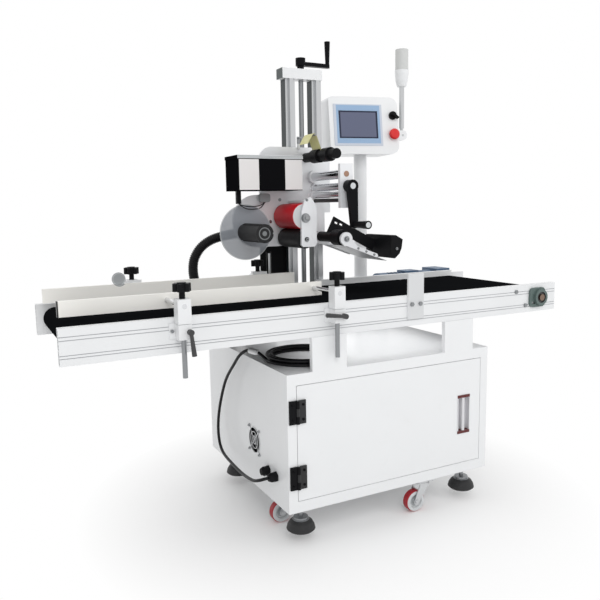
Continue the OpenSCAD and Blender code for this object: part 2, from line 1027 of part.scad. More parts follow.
module rail_body() {
    translate([-conv_len / 2, 0, rail_z])
        rotate([90, 0, 90])
            linear_extrude(conv_len)
                rail_section();
}

module front_rail() {
    color("whitesmoke")
        stand()
            difference() {
                rail_body();
                bar_y([drive_x, -over, axle_z], shaft_d + 2 * shaft_play, rail_t + 2 * over);
                bar_y([idler_x, stub_y, axle_z], shaft_d + 2 * shaft_play, rail_t + over - stub_y);
            }
}

module back_rail() {
    color("whitesmoke")
        stand()
            translate([0, conv_w, 0])
                mirror([0, 1, 0])
                    difference() {
                        rail_body();
                        bar_y([drive_x, -over, axle_z], shaft_d + 2 * shaft_play,
                            rail_t + 2 * over);
                        bar_y([idler_x, stub_y, axle_z], shaft_d + 2 * shaft_play,
                            rail_t + over - stub_y);
                    }
}

// Slider bed under the carrying run, with square ties between the rails
module belt_bed() {
    x0 = idler_x + roller_d / 2 + bed_end_gap;
    x1 = drive_x - roller_d / 2 - bed_end_gap;
    top = belt_z - belt_t - play;
    tie_z = top - bed_t - bed_flange;
    color("silver")
        stand() {
            block([x0, rail_t, top - bed_t], [x1, back_y, top]);
            for (y = [rail_t, back_y - bed_t])
                block([x0, y, top - bed_flange], [x1, y + bed_t, top - bed_t]);
            for (i = [0 : tie_count - 1])
                translate([x0 + (i + half_share) * (x1 - x0) / tie_count, 0, 0])
                    difference() {
                        block([-tie_side / 2, rail_t, tie_z - tie_side / 2],
                            [tie_side / 2, back_y, tie_z + tie_side / 2]);
                        block([post_t - tie_side / 2, rail_t - over, tie_z - tie_side / 2 + post_t],
                            [tie_side / 2 - post_t, back_y + over, tie_z + tie_side / 2 - post_t]);
                    }
        }
}

module belt_outline(r) {
    for (x = [idler_x, drive_x])
        translate([x, 0])
            circle(r);
    translate([idler_x, -r])
        square([drive_x - idler_x, 2 * r]);
}

module conveyor_belt() {
    color("black")
        stand()
            translate([0, 0, axle_z])
                wall_xz(belt_y0, belt_w)
                    difference() {
                        belt_outline(belt_r);
                        belt_outline(roller_d / 2 + play);
                    }
}

module drive_roller() {
    color("silver")
        stand() {
            bar_y([drive_x, belt_y0 + play, axle_z], roller_d, belt_w - 2 * play);
            bar_y([drive_x, -ring_t - shaft_out, axle_z], shaft_d,
                conv_w + ring_t + shaft_out + motor_gap + shaft_in);
        }
}

module idler_roller() {
    stub = bush_t + belt_side_gap + stub_grip;
    color("silver")
        stand() {
            bar_y([idler_x, belt_y0 + play, axle_z], roller_d, belt_w - 2 * play);
            bar_y([idler_x, belt_y0 - stub + play, axle_z], shaft_d, belt_w + 2 * stub - 2 * play);
        }
}

// Cast bearing housing of the drive shaft, adjuster bolts and inner bushes
module roller_bearings() {
    bore = shaft_d + 2 * fit;
    color("darkslategray")
        stand() {
            translate([0, 0, axle_z])
                difference() {
                    union() {
                        wall_xz(-housing_t, housing_t)
                            difference() {
                                translate([drive_x - housing_shift, 0])
                                    round_rect(housing_w, housing_h, housing_r);
                                translate([drive_x - housing_w / 2, window_drop - housing_h / 2])
                                    square([window_w, window_h]);
                            }
                        bar_y([drive_x, -ring_t, 0], ring_d, ring_t);
                    }
                    bar_y([drive_x, -ring_t - over, 0], bore, ring_t + 2 * over);
                    bar_y([drive_x, -ring_t - over, 0], seal_d, seal_t + over);
                }
            for (s = adjuster_shares)
                hex_bolt_y([drive_x - s[0] * housing_w, 0, axle_z + s[1] * housing_h],
                    bolt_d * 1.6, bolt_h);
            for (x = [idler_x, drive_x], y = [rail_t, back_y - bush_t])
                difference() {
                    bar_y([x, y, axle_z], bush_d, bush_t);
                    bar_y([x, y - over, axle_z], bore, bush_t + 2 * over);
                }
        }
}

// Right-angle gearbox on the drive shaft and a finned motor lying along the rail
module gear_motor() {
    y0 = conv_w + motor_gap;
    yc = y0 + gearbox_d / 2;
    fin_pitch = motor_len * 0.6 / motor_fins;
    x1 = drive_x - gearbox_w / 2;
    color("slategray")
        stand() {
            difference() {
                union() {
                    block([drive_x - gearbox_w / 2, y0, axle_z - gearbox_h / 2],
                        [drive_x + gearbox_w / 2, y0 + gearbox_d, axle_z + gearbox_h / 2]);
                    bar_y([drive_x, conv_w, axle_z], bush_d, motor_gap);
                    bar_y([drive_x, y0 + gearbox_d, axle_z], bush_d, bush_t);
                }
                bar_y([drive_x, conv_w - over, axle_z], shaft_d + 2 * fit, gearbox_d);
            }
            translate([x1, yc, axle_z])
                rotate([0, -90, 0])
                    rotate_extrude()
                        polygon(concat([[0, 0], [motor_d / 2, 0], [motor_d / 2, motor_len * 0.2]],
                            [for (i = [0 : motor_fins - 1], p = [0 : 3])
                                [p == 0 || p == 3 ? motor_d / 2 - fin_d : motor_d / 2,
                                    motor_len * 0.2 + i * fin_pitch
                                    + (p < 2 ? fin_pitch - fin_t : fin_pitch)]],
                            [[motor_d / 2 - fin_d, motor_len * 0.84],
                                [motor_d / 2, motor_len * 0.84],
                                [motor_d / 2, motor_len], [0, motor_len]]));
            block([x1 - motor_len * 0.55, yc - terminal_h, axle_z + motor_d / 2 - fin_d - fin_t],
                [x1 - motor_len * 0.55 + terminal_w, yc + terminal_h,
                    axle_z + motor_d / 2 + fin_t]);
        }
}

// Column: base, two square tubes with guide rails, top plate and screw bearings
module column_frame() {
    x0 = upright_xs[0] - upright_w / 2 - top_over;
    x1 = upright_xs[1] + upright_w / 2;
    bore = lead_d + 2 * fit;
    color("whitesmoke")
        stand() {
            block([column_x - base_w / 2, column_y - base_d / 4, column_z0],
                [column_x + base_w / 2, column_y + base_d * 3 / 4, upright_z0]);
            for (x = upright_xs) {
                translate([x, screw_y, upright_z0])
                    linear_extrude(upright_z1 - upright_z0)
                        difference() {
                            square(upright_w, center = true);
                            square(upright_w - 2 * upright_wall, center = true);
                        }
                block([x - guide_w / 2, column_y - guide_d, upright_z0],
                    [x + guide_w / 2, column_y, upright_z1]);
            }
            difference() {
                block([x0, column_y - guide_d, upright_z1],
                    [x1, column_y + upright_w + play, column_top]);
                bar_z([column_x, screw_y, upright_z1 - over], bore, cap_h + 2 * over);
            }
            difference() {
                block([column_x - foot_block / 2, screw_y - foot_block / 2, upright_z0],
                    [column_x + foot_block / 2, screw_y + foot_block / 2,
                        upright_z0 + foot_block_h]);
                bar_z([column_x, screw_y, upright_z0 + foot_block_h / 3], bore, foot_block_h);
            }
        }
}

// Black plate beside the column, with a steel pin and brass nut in its slot
module side_panel() {
    x1 = upright_xs[0] - upright_w / 2;
    y0 = column_y + upright_w / 2;
    slot_z0 = panel_z1 - slot_h - 24;
    color("black")
        stand() {
            difference() {
                block([x1 - panel_w, y0, panel_z0], [x1, y0 + panel_t, panel_z1]);
                block([slot_x - slot_w / 2, y0 - over, slot_z0],
                    [slot_x + slot_w / 2, y0 + panel_t + over, slot_z0 + slot_h]);
            }
            bar_z([slot_x, y0 + panel_t / 2, slot_z0], pin_d, slot_h);
            bar_z([slot_x, y0 - nut_d / 2, slot_z0 - nut_h], nut_d, nut_h);
        }
}

// Carriage on the column, its near end plate and the nut of the lift screw
module lift_carriage() {
    y1 = carriage_y + carriage_t;
    color("whitesmoke")
        stand()
            difference() {
                union() {
                    block([column_x - carriage_w / 2, carriage_y, carriage_z0],
                        [column_x + carriage_w / 2, y1, carriage_z1]);
                    for (x = upright_xs, z = [carriage_z0, carriage_z1 - block_h])
                        block([x - block_w / 2, y1, z],
                            [x + block_w / 2, column_y - play, z + block_h]);
                    block([column_x - nut_w / 2, y1, nut_z],
                        [column_x + nut_w / 2, screw_y + nut_w / 2, nut_z + nut_w]);
                    block([rod_x - near_w / 2 + near_shift, near_y, near_z0],
                        [rod_x + near_w / 2 + near_shift, near_y + near_t, near_z1]);
                    block([tab_x, carriage_y, tab_z1 - tab_arm],
                        [column_x, y1, tab_z1]);
                    block([tab_x, hose_tab_y - hose_d / 2 - tab_rim, tab_z - hose_d / 2 - tab_rim],
                        [tab_x + tab_t, hose_tab_y + hose_d / 2 + tab_rim, tab_z1]);
                }
                for (x = upright_xs)
                    block([x - guide_w / 2 - play, column_y - guide_d - play,
                        carriage_z0 - over],
                        [x + guide_w / 2 + play, column_y, carriage_z1 + over]);
                bar_z([column_x, screw_y, nut_z - over], lead_d + 2 * fit, nut_w + 2 * over);
                for (r = rod_spots) {
                    bar_y([rod_x, near_y + near_t / 2, r[0]], r[1], near_t);
                    bar_y([rod_x, carriage_y - over, r[0]], r[1], carriage_t / 2 + over);
                }
                bar_y([cross_x, near_y - over, cross_z], cross_d + 2 * fit, near_t + 2 * over);
                bar_y([cross_x, carriage_y - over, cross_z], cross_d + 2 * fit,
                    carriage_t / 2 + over);
            }
}

module cross_rods() {
    color("silver")
        stand()
            for (r = rod_spots)
                bar_y([rod_x, near_y + near_t / 2, r[0]], r[1],
                    carriage_y + carriage_t / 2 - near_y - near_t / 2);
}

// Lift screw with its crank on top
module lift_crank() {
    z0 = column_top + crank_gap;
    color("dimgray")
        stand()
            translate([column_x, screw_y, 0]) {
                bar_z([0, 0, upright_z0 + foot_block_h / 3 + play], lead_d,
                    z0 - upright_z0 - foot_block_h / 3);
                bar_z([0, 0, column_top + play], lead_d * 1.4, crank_gap);
                bar_z([0, 0, z0], hub_d, hub_h);
                translate([0, 0, z0])
                    linear_extrude(arm_h)
                        taper_bar([0, 0], [crank_reach, 0], arm_w / 2, arm_tip / 2);
                translate([crank_reach, 0, z0 + arm_h])
                    cylinder(d1 = grip_share * grip_d, d2 = grip_d, h = grip_len);
            }
}

// Cross screw with its crank in front of the near end plate
module side_crank() {
    hub_y = near_y - swing - side_hub_len;
    color("dimgray")
        stand() {
            bar_y([cross_x, hub_y, cross_z], cross_d, carriage_y + carriage_t / 2 - play - hub_y);
            bar_y([cross_x, hub_y, cross_z], side_hub_d, side_hub_len);
            translate([cross_x, 0, cross_z])
                rotate([0, -side_turn, 0]) {
                    wall_xz(hub_y + swing, side_arm_t)
                        taper_bar([0, 0], [0, -side_reach], side_arm_w / 2, side_arm_tip / 2);
                    translate([0, hub_y + 2 * swing, -side_reach])
                        rotate([90, 0, 0])
                            cylinder(d1 = grip_share * side_grip_d, d2 = side_grip_d,
                                h = side_grip_len);
                }
        }
}

module head_outline() {
    mid_z = (head_z0 + shoulder_z) / 2;
    lobe_x = head_x0 + lobe_r;
    translate([lobe_x, mid_z])
        circle(lobe_r);
    translate([lobe_x, head_z0])
        square([head_x1 - lobe_x, shoulder_z - head_z0]);
    translate([shoulder_x, shoulder_z - over])
        square([head_x1 - shoulder_x, head_z1 - shoulder_r - shoulder_z + over]);
    translate([shoulder_x + shoulder_r, head_z1 - shoulder_r])
        circle(shoulder_r);
    translate([shoulder_x + shoulder_r, head_z1 - shoulder_r - over])
        square([head_x1 - shoulder_x - shoulder_r, shoulder_r + over]);
}

// Head plate with the bushes that run on the cross rods
module head_plate() {
    axle_bore = axle_end_d + 2 * fit;
    color("whitesmoke")
        stand()
            difference() {
                union() {
                    wall_xz(head_y, head_t)
                        head_outline();
                    for (r = rod_spots)
                        bar_y([rod_x, head_y - bush_len, r[0]], r[1] + 2 * bush_wall, bush_len);
                    bar_y([cross_x, head_y - bush_len / 2, cross_z], cross_d + bush_wall,
                        bush_len / 2);
                }
                for (r = rod_spots)
                    bar_y([rod_x, head_y - bush_len - over, r[0]], r[1] + 2 * fit,
                        bush_len + head_t + 2 * over);
                bar_y([cross_x, head_y - bush_len - over, cross_z], cross_d + 2 * fit,
                    bush_len + head_t + 2 * over);
                for (p = [[red_x, red_z], [black_x, black_z], [reel_x, reel_z],
                    [collar_x, collar_z], [peel_x, peel_z]])
                    bar_y([p[0], head_y - over, p[1]], axle_bore, head_t + 2 * over);
            }
}

// Box with a lid, panels on its front, and the stepper motor behind the plate
module drive_box() {
    x1 = box_x0 + box_len;
    x2 = shoulder_x - box_notch;
    z1 = box_z0 + box_h;
    color("black")
        stand() {
            difference() {
                union() {
                    block([box_x0, box_y0 + box_lip, box_z0], [x1, head_y, z1 - box_lid]);
                    block([box_x0, head_y - box_back, box_z0],
                        [x2, head_y + box_back, z1 - box_lid]);
                }
                block([box_x0 + sheet_t, box_y0 + box_lip + sheet_t, box_z0 + sheet_t],
                    [x1 - sheet_t, head_y + over, z1 - box_lid + over]);
                block([box_x0 + sheet_t, head_y - box_back, box_z0 + sheet_t],
                    [x2 - sheet_t, head_y + box_back - sheet_t, z1 - box_lid + over]);
            }
            block([box_x0 - box_lip, box_y0, z1 - box_lid], [x1 + box_lip, head_y, z1]);
            block([box_x0 - box_lip, head_y - over, z1 - box_lid], [x2, head_y + box_back, z1]);
            for (s = [[0.01, 0.31], [0.325, 0.7], [0.72, 0.995]])
                block([box_x0 + s[0] * box_len, box_y0, box_z0 + box_lip],
                    [box_x0 + s[1] * box_len, box_y0 + box_lip, z1 - box_lid - box_lip]);
            difference() {
                block([black_x - stepper_w / 2, head_y + head_t, black_z - stepper_w / 2],
                    [black_x + stepper_w / 2, head_y + head_t + stepper_len,
                        black_z + stepper_w / 2]);
                bar_y([black_x, head_y, black_z], axle_end_d + 2 * fit, head_t + 16);
            }
        }
}

module web_guides() {
    strap_z = head_z1 - 6;
    color("dimgray")
        stand() {
            bar_y([web_bar_x, web_bar_y0, web_bar_z], web_bar_d, head_y - web_bar_y0);
            block([web_bar_x - web_strap_w / 2, head_y - 4, strap_z],
                [web_bar_x + web_strap_w / 2, head_y, web_bar_z + web_strap_w / 2]);
            wall_xz(sensor_y0, head_y - sensor_y0)
                translate([sensor_x, sensor_z])
                    round_rect(sensor_w, sensor_h, sensor_r);
            block([hanger_x0, hanger_y0, box_z0 - hanger_h],
                [hanger_x0 + hanger_w, hanger_y1, box_z0]);
        }
}

// Near plate of the nip, held by two stays
module nip_bracket() {
    y0 = nip_y0 - bracket_t - 2;
    color("white")
        stand() {
            difference() {
                wall_xz(y0, bracket_t)
                    union() {
                        polygon([[bracket_x0, bracket_z0 + 6], [bracket_x0 + 6, bracket_z0],
                            [bracket_x1 - 6, bracket_z0], [bracket_x1, bracket_z0 + 6],
                            [bracket_x1 + 2, bracket_z1], bracket_tip[0], bracket_tip[1],
                            bracket_tip[2]]);
                    }
                bar_y([red_x, y0 - over, red_z], axle_end_d + 2 * fit, bracket_t + 2 * over);
                bar_y([black_x, y0 - over, black_z], axle_end_d + 2 * fit, bracket_t + 2 * over);
            }
            bar_y([stays[0][0] - 8, y0 + bracket_t, stays[0][1] - 6], stay_d,
                head_y - y0 - bracket_t);
            bar_y([bracket_x1 + 1, y0 + 2, bracket_z0 + 14], stay_d / 2, head_y - y0 - 2);
        }
}

// Clear disc with a jawed core
module label_reel() {
    disc_y = head_y - disc_gap;
    color("gainsboro")
        stand() {
            bar_y([reel_x, disc_y, reel_z], reel_d, disc_t);
            bar_y([reel_x, disc_y + disc_t, reel_z], hub_rim_d, disc_t);
            difference() {
                bar_y([reel_x, disc_y - core_len, reel_z], core_d, core_len);
                for (a = [90 : 120 : 330])
                    translate([reel_x, disc_y - core_len - over, reel_z])
                        rotate([0, a, 0])
                            block([-jaw_w / 2, 0, core_d / 2 - jaw_d],
                                [jaw_w / 2, core_len + over, core_d]);
                bar_y([reel_x, disc_y - core_len - over, reel_z], core_d * 0.7, over + jaw_d);
            }
            bar_y([reel_x, disc_y + 2 * disc_t, reel_z], axle_end_d, head_y + head_t - disc_y);
        }
}

module nip_roller(x, z, d) {
    bar_y([x, nip_y0, z], d, nip_len);
    bar_y([x, nip_y0 - bracket_t - 6, z], axle_end_d, nip_len + bracket_t + 6 + head_y + head_t
        - nip_y1);
}

module red_roller() {
    color("firebrick")
        stand()
            nip_roller(red_x, red_z, press_d);
}

module black_roller() {
    color("black")
        stand()
            nip_roller(black_x, black_z, drive_d);
}

module collar_shaft() {
    color("black")
        stand() {
            bar_y([collar_x, collar_y0, collar_z], collar_shaft_d, head_y - collar_y0 - play);
            for (c = collar_ys)
                bar_y([collar_x, c[0], collar_z], collar_d, c[1]);
            bar_y([collar_x, head_y - over, collar_z], axle_end_d, head_t + over);
        }
}

// Cheek in side view: a round head, and a strip that leaves it along the bottom
module cheek_outline() {
    circle(cheek_r);
    rotate(-cheek_drop)
        polygon(strip_points);
}

// White cheeks and the thin plate that the labels peel from
module peel_cheeks() {
    color("white")
        stand()
            translate([peel_x, 0, peel_z - cheek_sink]) {
                for (y = [cheek_y0, cheek_far_y])
                    difference() {
                        wall_xz(y, cheek_t)
                            cheek_outline();
                        if (y == cheek_far_y)
                            bar_y([0, y - over, cheek_sink], peel_shaft_d, cheek_t + 2 * over);
                    }
                rotate([0, cheek_drop, 0])
                    block([peel_shaft_d, cheek_y0 + cheek_t - over, -peel_sheet_low],
                        [peel_len, cheek_far_y + over, peel_sheet_t - peel_sheet_low]);
            }
}

// Pivot shaft with its knob, slotted arm and the housing of the pressing roller
module press_unit() {
    color("black")
        stand()
            translate([peel_x, 0, peel_z]) {
                bar_y([0, cheek_y0 + cheek_t, 0], peel_shaft_d, head_y - cheek_y0 - cheek_t
                    - play);
                bar_y([0, knob_y0, 0], knob_d, knob_y1 - knob_y0);
                bar_y([0, head_y - over, 0], axle_end_d, head_t + over);
                wall_xz(arm_y0, arm_t)
                    difference() {
                        rotate(-arm_drop)
                            translate([-arm_back, arm_rise - arm_hgt / 2])
                                square([arm_len + arm_back, arm_hgt]);
                        for (i = [0, 1])
                            rotate(-arm_drop)
                                translate([i * slot_step - slot_start, arm_rise + i * slot_lift])
                                    square([slot_len, slot_high]);
                    }
                wall_xz(arm_y0, arm_t)
                    rotate(90 - arm_drop)
                        translate([0, -arm_back])
                            square([arm_rise, 2 * arm_back]);
                wall_xz(housing_y0, housing_y1 - housing_y0)
                    polygon(housing_points);
            }
}

// Tube that carries the panel
module hmi_post() {
    color("whitesmoke")
        stand()
            translate([hmi_x, hmi_y, 0]) {
                difference() {
                    bar_z([0, 0, cab_z1], flange_d, flange_t);
                    block([-flange_d, -flange_d, cab_z1 - over],
                        [flange_d, conv_w + over - hmi_y, cab_z1 + flange_t + over]);
                }
                for (a = [-30, 50, 130, 210])
                    translate([flange_bolt_r * cos(a), flange_bolt_r * sin(a), cab_z1 + flange_t])
                        cylinder(d = bolt_d * 1.6, h = bolt_h, $fn = 6);
                difference() {
                    bar_z([0, 0, cab_z1 + flange_t], post_d, hmi_z - play - cab_z1 - flange_t);
                    bar_z([0, 0, cab_z1 + flange_t - over], post_d - 2 * post_wall,
                        hmi_z - cab_z1 - flange_t - spigot_h);
                }
                bar_z([0, 0, hmi_z - play], spigot_d, spigot_h);
            }
}

// Places a panel piece: x from the left edge, y = 0 on the face, z from the bottom edge
module on_panel() {
    translate([hmi_x, hmi_y, hmi_z])
        rotate([0, 0, -hmi_turn])
            translate([-hmi_left, -hmi_front, 0])
                children();
}

// As on_panel, with y = 0 on the leaning face and z up along it
module on_face() {
    translate([0, -hmi_lean, 0])
        rotate([-atan(hmi_lean / hmi_h), 0, 0])
            children();
}

// Front outline of the panel, a gap inside its edge; the right corners are the larger ones
module panel_outline(gap) {
    r0 = hmi_r_left - gap;
    r1 = hmi_r - gap;
    for (z = [hmi_r_left, hmi_h - hmi_r_left])
        translate([hmi_r_left, z])
            circle(r0);
    for (z = [hmi_r, hmi_h - hmi_r])
        translate([hmi_w - hmi_r, z])
            circle(r1);
    translate([gap, hmi_r_left])
        square([hmi_w / 2, hmi_h - 2 * hmi_r_left]);
    translate([hmi_w / 2, hmi_r])
        square([hmi_w / 2 - gap, hmi_h - 2 * hmi_r]);
    translate([hmi_r_left, gap])
        square([hmi_w - hmi_r_left - hmi_r, hmi_h - 2 * gap]);
}

// Body of the panel box, a gap inside its outer surface
module panel_body(gap) {
    difference() {
        wall_xz(-hmi_lean - over + gap, hmi_d + hmi_lean + over - 2 * gap)
            panel_outline(gap);
        on_face()
            block([-over, -2 * hmi_lean, -hmi_h], [hmi_w + over, gap, 2 * hmi_h]);
    }
}

screen_x0 = screen_x0_share * hmi_w;
screen_z0 = screen_z0_share * hmi_h;
button_x = button_x_share * hmi_w;
selector_z = selector_z_share * hmi_h;
estop_z = estop_z_share * hmi_h;
lamp_x = hmi_w + knuckle_x;

module hmi_box() {
    color("whitesmoke")
        stand()
            on_panel() {
                difference() {
                    union() {
                        difference() {
                            panel_body(0);
                            panel_body(hmi_wall);
                        }
                        bar_z([hmi_left, hmi_front, hmi_wall / 2], spigot_d + 2 * hmi_wall,
                            spigot_h + hmi_wall);
                    }
                    on_face() {
                        block([screen_x0, -over, screen_z0],
                            [screen_x0 + screen_w, screen_deep, screen_z0 + screen_h]);
                        for (z = [selector_z, estop_z])
                            bar_y([button_x, -over, z], button_hole + 2 * fit,
                                4 * selector_h + over);
                    }
                    bar_z([hmi_left, hmi_front, -over], spigot_d + 2 * fit, spigot_h + over);
                }
                for (y = [lamp_y - ear_gap, lamp_y + ear_gap / 2 + play])
                    difference() {
                        union() {
                            bar_y([lamp_x, y, knuckle_z], knuckle_d, ear_gap / 2 - play);
                            block([hmi_w, y, knuckle_z - knuckle_d / 2],
                                [lamp_x, y + ear_gap / 2 - play, knuckle_z + knuckle_d / 2]);
                        }
                        bar_y([lamp_x, y - over, knuckle_z], axle_d + 2 * fit,
                            ear_gap + 2 * over);
                    }
            }
}

// Bezel that stands a little proud, with the glass set back in it
module hmi_screen() {
    color("steelblue")
        stand()
            on_panel() on_face()
                difference() {
                    block([screen_x0 + play, -screen_proud, screen_z0 + play],
                        [screen_x0 + screen_w - play, screen_deep, screen_z0 + screen_h - play]);
                    block([screen_x0 + glass_side, -screen_proud - over, screen_z0 + glass_low],
                        [screen_x0 + screen_w - glass_side, -screen_proud / 4,
                            screen_z0 + screen_h - glass_high]);
                }
}

module selector_knob() {
    color("black")
        stand()
            on_panel() on_face()
                translate([button_x, 0, selector_z]) {
                    bar_y([0, -selector_h - play, 0], selector_d, selector_h);
                    bar_y([0, -play, 0], button_hole, 3 * selector_h);
                    rotate([0, 35, 0])
                        wall_xz(-selector_h - lever_h - play, lever_h + swing)
                            taper_bar([-selector_d * 0.3, 0], [selector_d * 0.62, 0], lever_w / 2,
                                lever_w / 3);
                }
}

module estop_button() {
    stem = estop_travel + play;
    color("red")
        stand()
            on_panel() on_face()
                translate([button_x, 0, estop_z])
                    rotate([90, 0, 0]) {
                        translate([0, 0, -2 * selector_h])
                            cylinder(d = button_hole, h = 2 * selector_h + stem);
                        translate([0, 0, stem])
                            rotate_extrude()
                                polygon([[0, 0], [estop_d * 0.44, 0], [estop_d / 2, estop_h * 0.3],
                                    [estop_d / 2, estop_h * 0.6], [estop_d * 0.4, estop_h * 0.92],
                                    [estop_d * 0.2, estop_h], [0, estop_h]]);
                    }
}

// Folding lamp: hub between the ears, pole, base and lens
module signal_lamp() {
    base_z = pole_top - lamp_base_h;
    color("gainsboro")
        stand()
            on_panel()
                translate([lamp_x, lamp_y, knuckle_z]) {
                    bar_y([0, -ear_gap / 2, 0], knuckle_d - 2 * play, ear_gap);
                    bar_y([0, -ear_gap, 0], axle_d, 2 * ear_gap);
                    rotate_extrude()
                        polygon([[0, pole_low], [pole_low_d / 2, pole_low],
                            [pole_low_d / 2, pole_step], [pole_d / 2, pole_step],
                            [pole_d / 2, base_z], [lamp_d * 0.3, base_z],
                            [lamp_d * 0.36, base_z + lamp_base_h * 0.08],
                            [lamp_d * 0.45, base_z + lamp_base_h * 0.36],
                            [lamp_d / 2, pole_top - lamp_base_h * 0.2],
                            [lamp_d / 2, pole_top], [lamp_d / 2 - lamp_seam, pole_top],
                            [lamp_d / 2 - lamp_seam, pole_top + lamp_lens_h * 0.98],
                            [lamp_d * 0.46, pole_top + lamp_lens_h],
                            [0, pole_top + lamp_lens_h]]);
                }
}

// Clamps on both rails, the fixed guide behind the belt, and the plate on the front rail
module guide_brackets() {
    bolt_z = out_plate_z0 + out_plate_h / 3;
    color("whitesmoke")
        stand() {
            for (x = bracket_xs)
                difference() {
                    union() {
                        block([x - clamp_w * 0.6, -clamp_t, clamp_z0],
                            [x + clamp_w * 0.4, 0, clamp_z0 + clamp_h]);
                        block([x - block_side / 2, -block_y - block_side / 2, clamp_z0],
                            [x + block_side / 2, -clamp_t, clamp_z0 + clamp_h]);
                        hex_bolt_y([x - clamp_w * 0.47, -clamp_t, clamp_z0 + clamp_h / 2],
                            bolt_d, bolt_h);
                    }
                    bar_z([x, -block_y, clamp_z0 - over], guide_rod_d + 2 * fit,
                        clamp_h + 2 * over);
                    bar_y([x + block_side / 4 + 2, -block_y - block_side / 2 - over,
                        clamp_z0 + clamp_h / 2], axle_d + 2 * fit, block_side / 4 + 3 * over);
                }
            for (x = back_bracket_xs)
                difference() {
                    union() {
                        block([x - clamp_w / 2, conv_w, clamp_z0],
                            [x + clamp_w / 2, conv_w + clamp_t, block_z0 + block_tall]);
                        block([x - block_side / 2, conv_w + clamp_t, block_z0],
                            [x + block_side / 2, conv_w + clamp_t + block_side,
                                block_z0 + block_tall]);
                    }
                    bar_y([x, conv_w - over, guide_rod_z], guide_rod_d + 2 * fit,
                        clamp_t + block_side + 2 * over);
                    bar_z([x, conv_w + clamp_t + block_side / 2, guide_rod_z + guide_rod_d / 2],
                        axle_d + 2 * fit, block_tall);
                }
            translate([out_guide_x0, back_y, rail_top])
                linear_extrude(out_guide_h)
                    union() {
                        square([out_guide_len - rail_t / 2, rail_t]);
                        translate([out_guide_len - rail_t / 2, rail_t / 2])
                            circle(d = rail_t);
                    }
            block([out_plate_x - out_plate_w / 2, -out_plate_t, out_plate_z0],
                [out_plate_x + out_plate_w / 2, 0, out_plate_z0 + out_plate_h]);
            for (s = [-1, 1])
                hex_bolt_y([out_plate_x + s * out_plate_w * 0.27, -out_plate_t, bolt_z],
                    bolt_d * 1.6, bolt_h);
        }
}

// Upper blocks with their height rods
module front_guide_blocks() {
    color("whitesmoke")
        stand()
            for (x = bracket_xs) {
                difference() {
                    block([x - block_side / 2, -block_y - block_side / 2, block_z0],
                        [x + block_side / 2, block_side / 2 - block_y, block_z0 + block_tall]);
                    bar_y([x, -block_y - block_side, guide_rod_z], guide_rod_d + 2 * fit,
                        2 * block_side);
                    bar_z([x, -block_y, guide_rod_z + guide_rod_d / 2], axle_d + 2 * fit,
                        block_tall);
                }
                bar_z([x, -block_y, rod_low], guide_rod_d, block_z0 - rod_low);
            }
}

// Hollow guide rail along X with a cap on each end
module guide_rail(x0, y, len) {
    difference() {
        block([x0, y - guide_t / 2, guide_z0], [x0 + len, y + guide_t / 2, guide_z0 + guide_h]);
        block([x0 + cap_t, y - guide_t / 2 + guide_wall, guide_z0 + guide_wall],
            [x0 + len - cap_t, y + guide_t / 2 - guide_wall, guide_z0 + guide_h - guide_wall]);
    }
}

module front_guide() {
    color("ivory")
        stand() {
            guide_rail(front_guide_x0, front_guide_y, front_guide_len);
            for (x = bracket_xs)
                bar_y([x, -block_y - block_side / 2, guide_rod_z], guide_rod_d,
                    front_guide_y - guide_t / 2 + block_y + block_side / 2);
        }
}

module back_guide() {
    y1 = back_guide_y + guide_t / 2;
    rod_end = conv_w + clamp_t + block_side + rod_tail;
    color("ivory")
        stand() {
            guide_rail(back_guide_x0, back_guide_y, back_guide_len);
            for (x = back_bracket_xs)
                bar_y([x, y1, guide_rod_z], guide_rod_d, rod_end - y1);
            bar_y([reflector_x, y1, reflector_z], reflector_d, reflector_t);
        }
}

// Star knob on a threaded stem, standing on a block
module star_knob(at) {
    hub_r = star_hub_share * star_d;
    lobe_r0 = star_lobe_share * star_d;
    color("black")
        stand()
            translate(at) {
                translate([0, 0, star_stem_h])
                    linear_extrude(star_h)
                        union() {
                            circle(hub_r);
                            for (i = [0 : star_lobes - 1])
                                rotate(i * 360 / star_lobes)
                                    translate([star_d / 2 - lobe_r0, 0])
                                        circle(lobe_r0);
                        }
                bar_z([0, 0, play], star_stem_d, star_stem_h);
                bar_z([0, 0, star_stem_h + star_h], hub_r * 1.4, 2);
                bar_z([0, 0, -block_z0 - block_tall + guide_rod_z + guide_rod_d / 2 + play],
                    axle_d, block_z0 + block_tall - guide_rod_z - guide_rod_d / 2);
            }
}

block_top = block_z0 + block_tall;
back_block_y = conv_w + clamp_t + block_side / 2;

module front_left_knob() {
    star_knob([bracket_xs[0], -block_y, block_top]);
}

module front_right_knob() {
    star_knob([bracket_xs[1], -block_y, block_top]);
}

module back_left_knob() {
    star_knob([back_bracket_xs[0], back_block_y, block_top]);
}

module back_right_knob() {
    star_knob([back_bracket_xs[1], back_block_y, block_top]);
}

// Clamp lever on the face of a clamp block, turned by an angle about its screw
module clamp_lever(x, turn) {
    y0 = -block_y - block_side / 2;
    color("dimgray")
        stand()
            translate([x + block_side / 4 + 2, y0, clamp_z0 + clamp_h / 2]) {
                bar_y([0, -clamp_hub_h - play, 0], clamp_lever_d, clamp_hub_h);
                bar_y([0, -clamp_hub_h, 0], axle_d, clamp_hub_h + block_side / 4 - swing);
                rotate([0, turn, 0])
                    translate([0, -clamp_hub_h + clamp_lever_d / 4, 0])
                        rotate([0, 180, 0])
                            cylinder(d1 = lever_root_share * clamp_lever_d,
                                d2 = lever_tip_share * clamp_lever_d, h = clamp_lever_len);
            }
}

lever_turns = [-6, 98];

module front_left_lever() {
    clamp_lever(bracket_xs[0], lever_turns[0]);
}

module front_right_lever() {
    clamp_lever(bracket_xs[1], lever_turns[1]);
}

